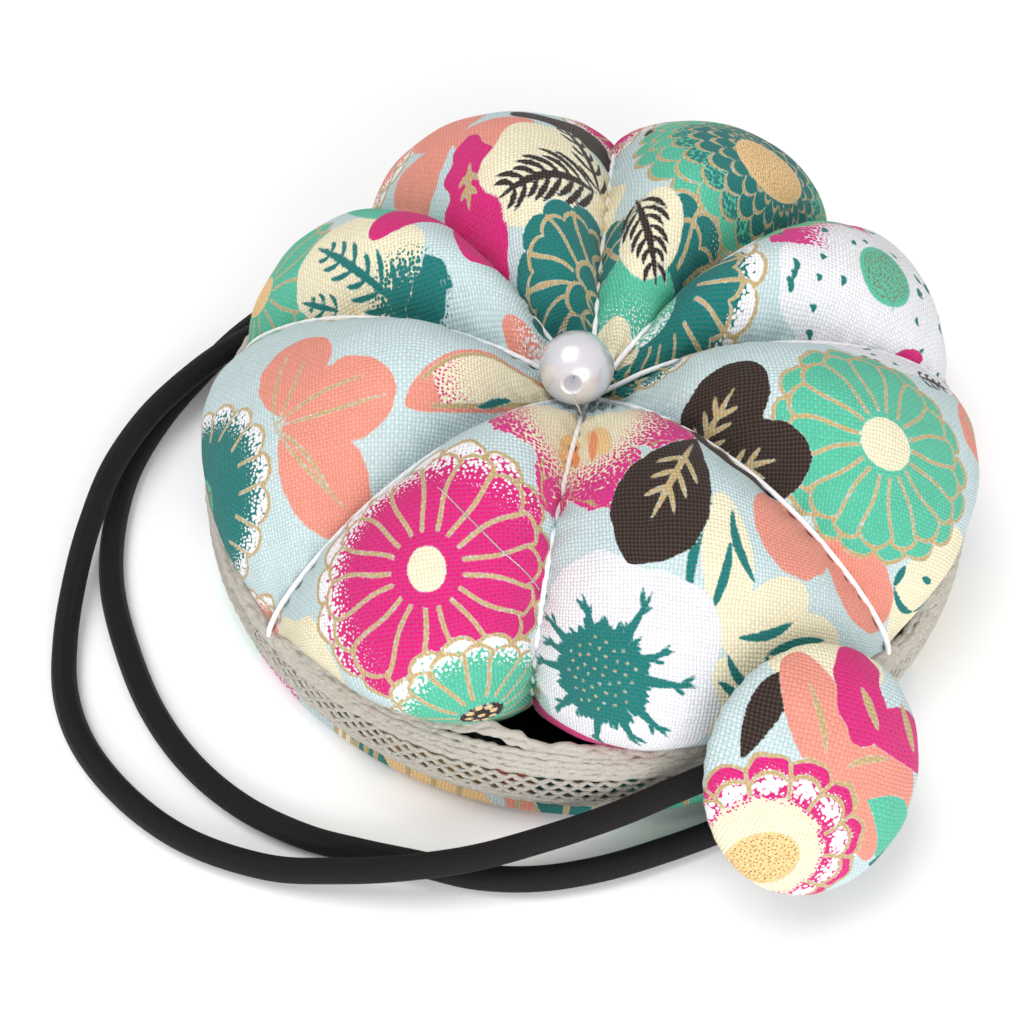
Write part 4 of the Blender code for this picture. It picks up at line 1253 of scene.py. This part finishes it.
stray_plan = evenly([(-14.2, -18.9, 0.0), (-11.8, -21.5, 0.0), (-8.7, -23.9, 0.0),
                     (-6.4, -24.9, 0.0), (-5.2, -25.1, 0.0)], 0.5)[:, :2]
stray_path = evenly(resting(cushion, stray_plan, 0.1), 0.2)
filament = joined("nylon", [tube_grid(filament_path, (1.0, 0.2, 0.1), 0.11, 8),
                            tube_grid(filament_knot, (0.2, 0.1, 1.0), 0.11, 8),
                            tube_grid(stray_path, (1.0, 0.2, 0.1), 0.07, 6)], along=False)
finished(filament, nylon, "root", "clear_nylon", "bead_filament")
print("nylon", round(distance_along(filament_path)[-1], 1), "mm")

# %% [markdown]
# ## The base
#
# The base is a moulded black cup. A strip of the same cotton is glued round its wall and turned in
# under its foot, and a felt disc covers the turned edge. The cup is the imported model's own piece,
# and only gets its finish: black plastic, glossy inside, with faint moulding waves.

# %% Finish the cup
cup_plastic, tree, shader = new_finish("black_moulding")
place = place_on(tree)
specks = ranged(tree, noise(tree, place, 0.0015, 4.0), 0.12, 0.34)
tree.links.new(specks, shader.inputs["Roughness"])
add_bump(tree, shader, noise(tree, place, 0.006, 2.0), 0.25, 0.0003)
settle(shader, Base_Color=paint(34, 31, 32), Coat_Weight=0.3)


def repaint(name, finish):
    """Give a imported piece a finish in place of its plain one."""
    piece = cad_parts[name]
    for slot in range(len(piece.material_slots)):
        piece.material_slots[slot].material = finish


repaint("base_cup", cup_plastic)

# %% [markdown]
# The strip of cotton shows below the lace, and stands out a little at the foot, where it is folded
# over the cup's edge. Its cloth coordinates are the distance round the wall and the distance up it,
# so its weave and print run straight round.

# %% Cover the wall of the base
COVER_RADIUS = 38.0
COVER_TOP = 8.7
COVER_BOTTOM = 0.8
TURNED_UNDER_TO = 31.0
CLOTH_THICKNESS = 0.4
FOOT_FLARE = 0.6
outside = [(COVER_RADIUS + FOOT_FLARE * (COVER_TOP - height) / COVER_TOP, height)
           for height in np.arange(COVER_TOP, COVER_BOTTOM + 0.8, -0.25)]
corner = [(COVER_RADIUS + FOOT_FLARE * 0.86 - 0.8 + 0.8 * math.cos(a),
           COVER_BOTTOM + 0.8 - 0.8 * math.sin(a)) for a in np.linspace(0.0, math.pi / 2, 7)]
under = [(radius, COVER_BOTTOM) for radius in np.arange(36.9, TURNED_UNDER_TO, -0.4)]
inside = [(TURNED_UNDER_TO, COVER_BOTTOM + CLOTH_THICKNESS), (37.0, COVER_BOTTOM + CLOTH_THICKNESS),
          (COVER_RADIUS - CLOTH_THICKNESS, COVER_BOTTOM + CLOTH_THICKNESS + 0.5),
          (COVER_RADIUS - CLOTH_THICKNESS, COVER_TOP)]
wall = np.array(outside + corner + under + inside)
WALL_STEPS = 960
wall_grid = around_axis(wall, (0, 0, 0), (0, 0, 1), WALL_STEPS)
wall_round = np.arange(WALL_STEPS) / WALL_STEPS * 2 * math.pi * COVER_RADIUS
wall_x = np.broadcast_to(wall_round[None, :], wall_grid.shape[:2])
wall_y = np.broadcast_to(-distance_along(wall)[:, None], wall_grid.shape[:2])
loosened = 0.06 * ripples(wall_x, wall_y, 9.0, 2.0) * (wall_grid[..., 2] > COVER_BOTTOM + 0.9)
wall_grid = wall_grid + loosened[..., None] * unit(wall_grid * (1.0, 1.0, 0.0))


def draw_wall(cloth):
    """Patches of the same garden round the wall, each at its place round it in degrees."""
    def at(degrees):
        """How far round the wall a place is, in millimetres."""
        return degrees / 360.0 * 2 * math.pi * COVER_RADIUS

    for degrees, ink, half in ((206, "mint", 6.5), (232, "cream", 2.0), (236, "teal", 2.2),
                               (247, "apricot", 5.2), (262, "coral", 3.4), (270, "teal", 5.2),
                               (283, "mint", 6.5), (306, "wine", 9.0), (335, "cream", 7.0),
                               (10, "coral", 6.0), (35, "teal", 7.5), (62, "magenta", 7.0),
                               (92, "mint", 8.0), (120, "brown", 4.0), (150, "coral", 7.0),
                               (178, "teal", 5.0)):
        area = oval(cloth, (at(degrees), -5.0), (half, 9.0), 20)
        lay(cloth, ink, area + wobble(cloth, 0.5, 5.0))
        for k in range(3):
            x = at(degrees) + half * (0.5 * k - 0.5)
            lay(cloth, "gold", stroke(cloth, (x, -9.5), (x + 1.6, 0.5), 0.6, 0.5))
    specks = oval(cloth, (at(217), -5.0), (3.6, 9.0), 10)
    lay(cloth, "white", specks)
    sprinkle(cloth, "magenta_dots", 0.45, specks)


wall_cloth = new_cloth(wall_x, wall_y)
draw_wall(wall_cloth)
wall_marks = {"cloth": np.stack([wall_x, wall_y, 0 * wall_x], -1),
              **printed_marks(wall_cloth, wall_x.shape)}
base_cloth = skin("base_cloth", wall_grid, along=True, marks=wall_marks)
finished(base_cloth, cotton, "root", "printed_cotton", "base_cover")
print("base cloth faces:", len(base_cloth.data.polygons))

# %% Finish the underside
felt, tree, shader = new_finish("black_felt")
place = place_on(tree)
hairs = noise(tree, place, 0.0004, 6.0, 0.75)
tree.links.new(mixed(tree, hairs, paint(14, 14, 15), paint(52, 50, 52)),
               shader.inputs["Base Color"])
add_bump(tree, shader, hairs, 0.8, 0.0002)
settle(shader, Roughness=0.95, Sheen_Weight=0.4)
repaint("underside_disc", felt)

# %% [markdown]
# ## The lace
#
# The trim is a narrow crocheted edging of soft cream cotton. Three yarns make a thick cord along
# the top, which rises in shallow scallops. Below it come four close rows, then four rows of a net
# with small eyelets, and two thinner yarns along the bottom. All of it is yarn, so it is made of
# yarns: tubes that wander round the base. Neighbouring yarns of the net swing against each other,
# and an eyelet opens where they part. The band leans in at the front, and two lobes press it down.

# %% Crochet the lace
LACE_RADIUS = 38.6
SCALLOPS = 24
EYELET = 1.7
LACE_STEPS = 940
YARN_SIDES = 8
FRONT_PEAK = math.radians(-106.0)
round_turn = 2 * np.pi * np.arange(LACE_STEPS) / LACE_STEPS
eyelets = round(2 * np.pi * LACE_RADIUS / EYELET)


def wandering(seed, size=7.0):
    """An uneven value between about -1 and 1 that meets itself after one turn."""
    x, y = LACE_RADIUS * np.cos(round_turn), LACE_RADIUS * np.sin(round_turn)
    return ripples(x, y, size, seed)


def yarn(height, stand, radius, flat=1.0):
    """A yarn round the base. height and stand (how far out) and radius are arrays, one value for
    each step; flat is its thickness as a share of its height."""
    out = LACE_RADIUS + stand
    path = np.column_stack([out * np.cos(round_turn), out * np.sin(round_turn), height])
    ahead = unit(np.roll(path, -1, axis=0) - np.roll(path, 1, axis=0))
    up = unit(np.array([0.0, 0.0, 1.0]) - ahead[:, 2:] * ahead)
    side = np.cross(ahead, up) * flat
    turn = 2 * np.pi * np.arange(YARN_SIDES) / YARN_SIDES
    ring = (np.cos(turn)[None, :, None] * up[:, None] + np.sin(turn)[None, :, None] * side[:, None])
    return path[:, None] + ring * (radius + 0 * round_turn)[:, None, None]


def band(up):
    """Height and stand of the lace's middle at a place up it: from 0 at its lower edge to 1 at its
    upper one, which leans in over the rim of the cup."""
    height = np.interp(up, [0.0, 0.66, 0.85, 1.0], [4.4, 8.2, 9.2, 9.8])
    return height, np.interp(up, [0.0, 0.66, 0.85, 1.0], [0.2, -0.1, -0.5, -1.0])


off_peak = (round_turn - FRONT_PEAK + np.pi) % (2 * np.pi) - np.pi
front_peak = np.exp(-(off_peak * LACE_RADIUS / 3.4) ** 2)
near_front = np.exp(-(off_peak * LACE_RADIUS / 17.0) ** 2)
pressed = np.exp(-(((round_turn - math.radians(207.0)) * LACE_RADIUS) / 14.0) ** 2)
pressed = pressed + 0.7 * np.exp(-(((round_turn - math.radians(325.0)) * LACE_RADIUS) / 9.0) ** 2)
scallop = np.cos(SCALLOPS * (round_turn - FRONT_PEAK))
rise_at_top = 0.4 * near_front - 1.7 * pressed
lean_at_top = -0.9 * near_front + 0.5 * pressed
yarns = []
for strand, (rise, lean) in enumerate(((0.0, 0.0), (0.36, -0.3), (-0.25, -0.45))):
    height, stand = band(1.0)
    yarns.append(yarn(
        height + rise + 0.28 * scallop + 0.2 * wandering(0.6 + strand, 2.4) + 0.8 * front_peak
        + rise_at_top,
        stand + lean + 0.16 * wandering(1.9 + strand, 2.6) - 0.3 * front_peak + lean_at_top,
        0.43 + 0.1 * wandering(1.0 + strand, 1.3) + 0.06 * wandering(4.0, 4.0)))
for row, place_up in enumerate((0.68, 0.76, 0.84, 0.92)):
    height, stand = band(place_up)
    share = ((place_up - 0.5) / 0.5) ** 1.3
    yarns.append(yarn(height + 0.1 * wandering(2.0 + row, 2.0) + share * rise_at_top,
                      stand + 0.08 * wandering(7.0 + row, 1.6) + share * lean_at_top,
                      0.44 + 0.1 * wandering(3.0 + row, 1.2), 0.75))
for row, place_up in enumerate((0.13, 0.27, 0.41, 0.55)):
    height, stand = band(place_up)
    swing = eyelets * round_turn + math.pi * row + 0.5 * wandering(11.0, 9.0)
    yarns.append(yarn(height + 0.27 * np.sin(swing) + 0.1 * wandering(5.0 + row, 3.0)
                      - 0.25 * place_up * pressed,
                      stand + 0.05 * np.cos(2 * swing),
                      0.25 + 0.07 * wandering(6.0 + row, 1.3), 0.8))
for rise, seed in ((0.0, 8.0), (0.38, 9.0)):
    height, stand = band(0.0)
    yarns.append(yarn(height + rise - 0.1 + 0.08 * wandering(seed, 3.0),
                      stand + 0.04 * wandering(seed + 1.0),
                      0.31 + 0.08 * wandering(seed, 1.3), 0.75))


# %% Finish the lace
lace = joined("crochet_lace", yarns)
lace_cotton, tree, shader = new_finish("crochet_cotton")
place = place_on(tree)
split = split_up(tree, mark(tree, "along")["Vector"])
spiral = calc(tree, "MULTIPLY_ADD", split[0], 3.0, calc(tree, "MULTIPLY", split[1], 0.8))
ply = calc(tree, "ABSOLUTE", calc(tree, "SINE", calc(tree, "MULTIPLY", spiral, math.pi)))
fluff_and_groove_shade = calc(tree, "MULTIPLY_ADD", noise(tree, place, 0.0003, 5.0, 0.75), 3.0,
             calc(tree, "MULTIPLY", ply, 0.35))
# Painted shade: the yarn is creamier and darker in the grooves between its plies; the fibre noise is
# its own tone.
tree.links.new(mixed(tree, calc(tree, "MULTIPLY_ADD", fluff_and_groove_shade, 0.7, -0.55, clamp=True),
                     paint(240, 225, 200), paint(255, 252, 244)), shader.inputs["Base Color"])
add_bump(tree, shader, fluff_and_groove_shade, 1.0, 0.0003)
settle(shader, Roughness=0.92, Specular_IOR_Level=0.2, Sheen_Weight=0.5,
       Sheen_Tint=paint(255, 244, 226))
finished(lace, lace_cotton, "root", "crochet_lace", "lace_trim")
print("lace:", len(lace.data.polygons), "faces,", eyelets, "eyelets round")

# %% [markdown]
# ## The covered button
#
# A round of the same cotton is stretched over a pressed dome and tucked in behind it, where a
# moulded back snaps in and holds it. The wire eye on the back is sewn to the base. The cloth is cut
# on the cross, so its weave lies at 45 degrees.

# %% Cover the button
BUTTON_CENTRE = np.array([19.1, -40.3, 13.2])
BUTTON_AXIS = direction(-54.0, 41.0)
BUTTON_RADIUS = 11.2
DOME = 4.2
rim_profile = [(0.0, 1.0), (0.19, 0.98), (0.38, 0.91), (0.54, 0.805), (0.68, 0.66), (0.79, 0.51),
               (0.88, 0.34), (0.945, 0.18), (0.985, 0.03), (1.0, -0.1), (0.985, -0.26),
               (0.95, -0.36), (0.9, -0.4), (0.84, -0.4)]
rim_profile = np.array(rim_profile) * (BUTTON_RADIUS, DOME)
button_rows = evenly(np.column_stack([rim_profile, 0 * rim_profile[:, 0]]), 0.17)[:, :2]
button_rows[0, 0] = 0.02
BUTTON_STEPS = 320
button_grid = around_axis(button_rows, BUTTON_CENTRE, BUTTON_AXIS, BUTTON_STEPS)
button_reach = distance_along(button_rows)[:, None]
button_turn = (2 * np.pi * np.arange(BUTTON_STEPS) / BUTTON_STEPS)[None, :]
button_x, button_y = button_reach * np.cos(button_turn), button_reach * np.sin(button_turn)
tucks = np.clip((button_reach - 12.9) / 1.5, 0.0, 1.0) * 0.1 * np.sin(40 * button_turn)
ease = 0.05 * ripples(button_x, button_y, 5.0, 1.1)
button_grid = button_grid + outward(button_grid) * (ease + tucks)[..., None]


def draw_button(cloth):
    """The part of the garden that the button happens to show."""
    lay(cloth, "cream", oval(cloth, (5.4, 9.4), (6.5, 4.0), -30))
    lay(cloth, "brown", leaf(cloth, (-7.4, 6.4), (0.4, 10.8), 3.0, 0.5))
    lay(cloth, "coral", leaf(cloth, (2.0, 12.2), (0.2, -1.0), 6.2, -0.6, 0.35, 0.9))
    lay(cloth, "coral", leaf(cloth, (0.0, 1.8), (6.6, -8.0), 6.4, 0.9, 0.45, 0.8))
    lay(cloth, "mint", leaf(cloth, (-0.6, -2.6), (4.8, -12.6), 5.6, 1.2, 0.4, 0.7))
    lay(cloth, "coral", leaf(cloth, (0.2, 1.2), (0.7, -9.6), 3.0, -0.4, 0.4, 0.9))
    lay(cloth, "magenta", leaf(cloth, (2.8, 1.8), (9.0, 9.0), 5.6, 0.3, 0.3, 0.9)
        + wobble(cloth, 0.4, 3.0))
    lay(cloth, "magenta", leaf(cloth, (4.0, 3.0), (11.4, -6.0), 5.0, 1.0, 0.35, 0.8))
    lay(cloth, "gold", stroke(cloth, (5.9, 5.9), (5.2, 1.9), 0.9, 0.1))
    lay(cloth, "gold", stroke(cloth, (9.9, 1.9), (9.0, -3.0), 1.1, -0.2))
    lay(cloth, "gold", stroke(cloth, (1.4, 9.0), (-0.6, 3.2), 0.6, 0.2))
    lay(cloth, "gold", stroke(cloth, (0.6, 1.0), (5.0, -1.0), 0.6, 0.4))
    lay(cloth, "teal", leaf(cloth, (0.6, -10.4), (5.6, -13.6), 2.6))
    hub, petals, turn = (-8.9, -3.0), 13, 12.0
    flower = scalloped(cloth, hub, 9.6, petals, turn, 1.2) + wobble(cloth, 0.25)
    lay(cloth, "magenta", flower)
    rho, angle = polar(cloth, hub)
    petal = np.abs(sector(angle, petals, turn)) * rho
    sprinkle(cloth, "white_dots", (1.5 - np.abs(rho - 6.9)) * 0.5 + (0.9 - petal) * 0.25, flower)
    lay(cloth, "gold", spokes(cloth, hub, 5.4, 8.7, petals, turn))
    lay(cloth, "gold", LINE - np.abs(scalloped(cloth, hub, 7.9, petals, turn, 1.2)))
    outlined(cloth, flower)
    heart = oval(cloth, (-9.2, -2.9), (5.6, 5.9)) + wobble(cloth, 0.3, 2.0)
    lay(cloth, "cream", heart)
    sprinkle(cloth, "magenta_dots", 0.5 - heart * 0.6, heart)
    lay(cloth, "apricot", oval(cloth, (-9.4, -3.4), (3.4, 3.0)))
    sprinkle(cloth, "gold_dots", 0.22, oval(cloth, (-9.4, -3.4), (3.2, 2.8)))


button_cloth = new_cloth(button_x, button_y)
draw_button(button_cloth)
button_marks = {"cloth": np.stack([button_x, button_y, 0 * button_x], -1),
                **printed_marks(button_cloth, button_x.shape)}
button = skin("button_cotton", button_grid, marks=button_marks)
bias_cotton = make_cotton("printed_cotton_on_the_cross", 45.0, 0.4)
finished(button, bias_cotton, "button", "printed_cotton", "button_cloth")
print("button faces:", len(button.data.polygons))

# %% [markdown]
# The dome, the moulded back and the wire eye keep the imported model's shapes. They get metal that is
# dull in patches, and milky nylon.

# %% Finish the dome, the back and the eye
tinplate, tree, shader = new_finish("tinplate")
place = place_on(tree)
dull = ranged(tree, noise(tree, place, 0.0008, 4.0), 0.22, 0.42)
tree.links.new(dull, shader.inputs["Roughness"])
settle(shader, Base_Color=paint(196, 196, 196), Metallic=1.0)
for name in ("button_shell", "button_shank"):
    repaint(name, tinplate)

milky, tree, shader = new_finish("milky_nylon")
place = place_on(tree)
cloudy = noise(tree, place, 0.002, 3.0)
tree.links.new(mixed(tree, cloudy, paint(224, 222, 216), paint(240, 239, 235)),
               shader.inputs["Base Color"])
add_bump(tree, shader, noise(tree, place, 0.0004, 2.0), 0.2, 0.0001)
settle(shader, Roughness=0.45, Subsurface_Weight=0.15, Subsurface_Scale=0.001)
repaint("button_back", milky)

# %% [markdown]
# The button's stitches go from the wall of the base through the eye and back, twice over.

# %% Sew on the button
STITCH_DIRECTION = direction(-65.5, 0.0)
STITCH_LEAVES_AT = 39.85
STITCH_HEIGHT = 7.2
HALF_WIDTH = 1.5
leave = STITCH_DIRECTION * STITCH_LEAVES_AT + np.array([0.0, 0.0, STITCH_HEIGHT])
eye = BUTTON_CENTRE - BUTTON_AXIS * 1.7
back = unit(leave - eye)
side = unit(np.cross((0.0, 0.0, 1.0), BUTTON_AXIS))
strands = []
for strand in range(2):
    offset = np.cross(back, side) * (0.26 * strand - 0.13)
    bend = [eye + back * (HALF_WIDTH * (1 - math.sin(a)) - 0.05) + side * HALF_WIDTH * math.cos(a)
            for a in np.linspace(0.0, math.pi, 9)]
    route = [leave + side * HALF_WIDTH, eye + back * 2.4 + side * HALF_WIDTH, *bend,
             eye + back * 2.4 - side * HALF_WIDTH, leave - side * HALF_WIDTH]
    strands.append(tube_grid(evenly(np.array(route) + offset, 0.2), np.cross(back, side), 0.2, 10))
stitches = joined("stitches", strands, along=False)
finished(stitches, white_thread, "stitches", "white_thread", "button_stitches")
print("stitches", round(distance_along(np.array(route))[-1], 1), "mm a strand")

# %% [markdown]
# ## The elastic's finish, the knots and what lies inside
#
# The elastic is a braid of matt polyester over rubber. Its many fine yarns cross each other, and
# short fibres stand up all over it, so it has a soft sheen along its sides and hardly any gloss.
# The thread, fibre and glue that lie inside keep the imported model's shapes and get plain finishes.

# %% Finish the elastic
elastic_finish, tree, shader = new_finish("black_elastic")
split = split_up(tree, mark(tree, "along")["Vector"])
crossings = []
for sign in (1.0, -1.0):
    around = calc(tree, "MULTIPLY", split[0], 10.0)
    spiral = calc(tree, "MULTIPLY_ADD", split[1], sign * 1.1, around)
    swing = calc(tree, "SINE", calc(tree, "MULTIPLY", spiral, math.pi))
    crossings.append(calc(tree, "ABSOLUTE", swing))
braid = calc(tree, "MAXIMUM", crossings[0], crossings[1])
place = place_on(tree)
fluff_and_groove_shade = calc(tree, "MULTIPLY_ADD", noise(tree, place, 0.0002, 5.0, 0.75), 1.8,
             calc(tree, "MULTIPLY", braid, 0.4))
# Painted shade: the braid is lighter on the crossing yarns and darker in the grooves between them;
# the fibre noise is its own tone.
tree.links.new(mixed(tree, calc(tree, "MULTIPLY", fluff_and_groove_shade, 0.45, clamp=True), paint(10, 9, 10),
                     paint(36, 33, 34)), shader.inputs["Base Color"])
add_bump(tree, shader, fluff_and_groove_shade, 0.7, 0.00009)
settle(shader, Roughness=0.8, Specular_IOR_Level=0.25, Sheen_Weight=0.06, Sheen_Roughness=0.3)
elastic.data.materials.append(elastic_finish)

# %% Finish the hidden thread, fibre and glue
wound_thread, tree, shader = new_finish("wound_thread")
place = place_on(tree)
wound = node(tree, "ShaderNodeTexWave", {"Vector": place, "Scale": 900.0, "Distortion": 3.0,
             "Detail": 2.0, "Detail Scale": 1.5}).outputs["Fac"]
tree.links.new(mixed(tree, wound, paint(176, 174, 176), paint(244, 242, 244)),
               shader.inputs["Base Color"])
add_bump(tree, shader, wound, 0.7, 0.0001)
settle(shader, Roughness=0.7)
for name in ("gathering_thread", "centre_thread", "stitch_knot"):
    repaint(name, wound_thread)

fibre, tree, shader = new_finish("polyester_fibre")
place = place_on(tree)
tufts = noise(tree, place, 0.002, 8.0, 0.7)
tree.links.new(mixed(tree, tufts, paint(206, 206, 204), paint(246, 246, 244)),
               shader.inputs["Base Color"])
add_bump(tree, shader, tufts, 1.0, 0.0008)
settle(shader, Roughness=0.9)
repaint("cushion_filling", fibre)

glue, tree, shader = new_finish("hot_glue")
place = place_on(tree)
cloudy = noise(tree, place, 0.004, 3.0)
tree.links.new(mixed(tree, cloudy, paint(212, 206, 184), paint(232, 228, 210)),
               shader.inputs["Base Color"])
settle(shader, Roughness=0.3, Subsurface_Weight=0.3, Subsurface_Scale=0.002)
repaint("glue_bed", glue)
repaint("elastic_knot", elastic_finish)

# %% [markdown]
# The knot in the pit ties all the threads. It is a trefoil, pulled small: one tube along a closed
# curve that passes over and under itself three times.

# %% Tie the knot in the pit
KNOT_CENTRE = np.array([-0.1, -0.2, 17.5])
t = np.linspace(0.0, 2 * np.pi, 240, endpoint=False)
trefoil_path = KNOT_CENTRE + 0.27 * np.column_stack([
    np.sin(t) + 2 * np.sin(2 * t), np.cos(t) - 2 * np.cos(2 * t), -1.3 * np.sin(3 * t)])
knot_grid = tube_grid(trefoil_path, (0.0, 0.0, 1.0), 0.26, 10)
knot = skin("pit_knot_thread", knot_grid, along=True, marks={"along": tube_marks(knot_grid)})
finished(knot, white_thread, "root", "white_thread", "pit_knot")
print("knot across", round(float(np.ptp(trefoil_path[:, 0])), 1), "mm")

# %% [markdown]
# ## Floor and light
#
# A plain white floor, a white surrounding, and two broad lamps: one high up on the left, and a low
# one in front. The shadows are soft and pale, as in a light tent.

# %% Lay the floor
FLOOR = 1500.0
FLOOR_GAP = 0.02
floor_corners = np.array([(x * FLOOR, y * FLOOR, -FLOOR_GAP)
                          for x, y in ((-1, -1), (1, -1), (1, 1), (-1, 1))])
floor = link_mesh("floor", floor_corners, np.array([[0, 1, 2, 3]]), np.zeros((0, 3), int), {})
floor_finish, tree, shader = new_finish("white_paper")
settle(shader, Base_Color=(0.97, 0.97, 0.97, 1.0), Roughness=0.9, Specular_IOR_Level=0.1)
floor.data.materials.append(floor_finish)

# %% Light the object
world = bpy.data.worlds.new("surrounding")
world.use_nodes = True
settle(world.node_tree.nodes["Background"], Color=(1.0, 1.0, 1.0, 1.0), Strength=0.6)
scene.world = world
scene.view_settings.view_transform = "Standard"


def lamp(name, place, size, power):
    """A square lamp that faces the middle of the cushion."""
    data = bpy.data.lights.new(name, "AREA")
    data.size = size
    data.energy = power
    made = bpy.data.objects.new(name, data)
    scene.collection.objects.link(made)
    made.location = place
    made.rotation_euler = (-Vector(place)).to_track_quat("-Z", "Y").to_euler()


lamp("key", (-0.25, 0.05, 0.7), 0.45, 2.5)
lamp("fill", (0.15, -0.65, 0.26), 0.5, 3.9)
print("lit")
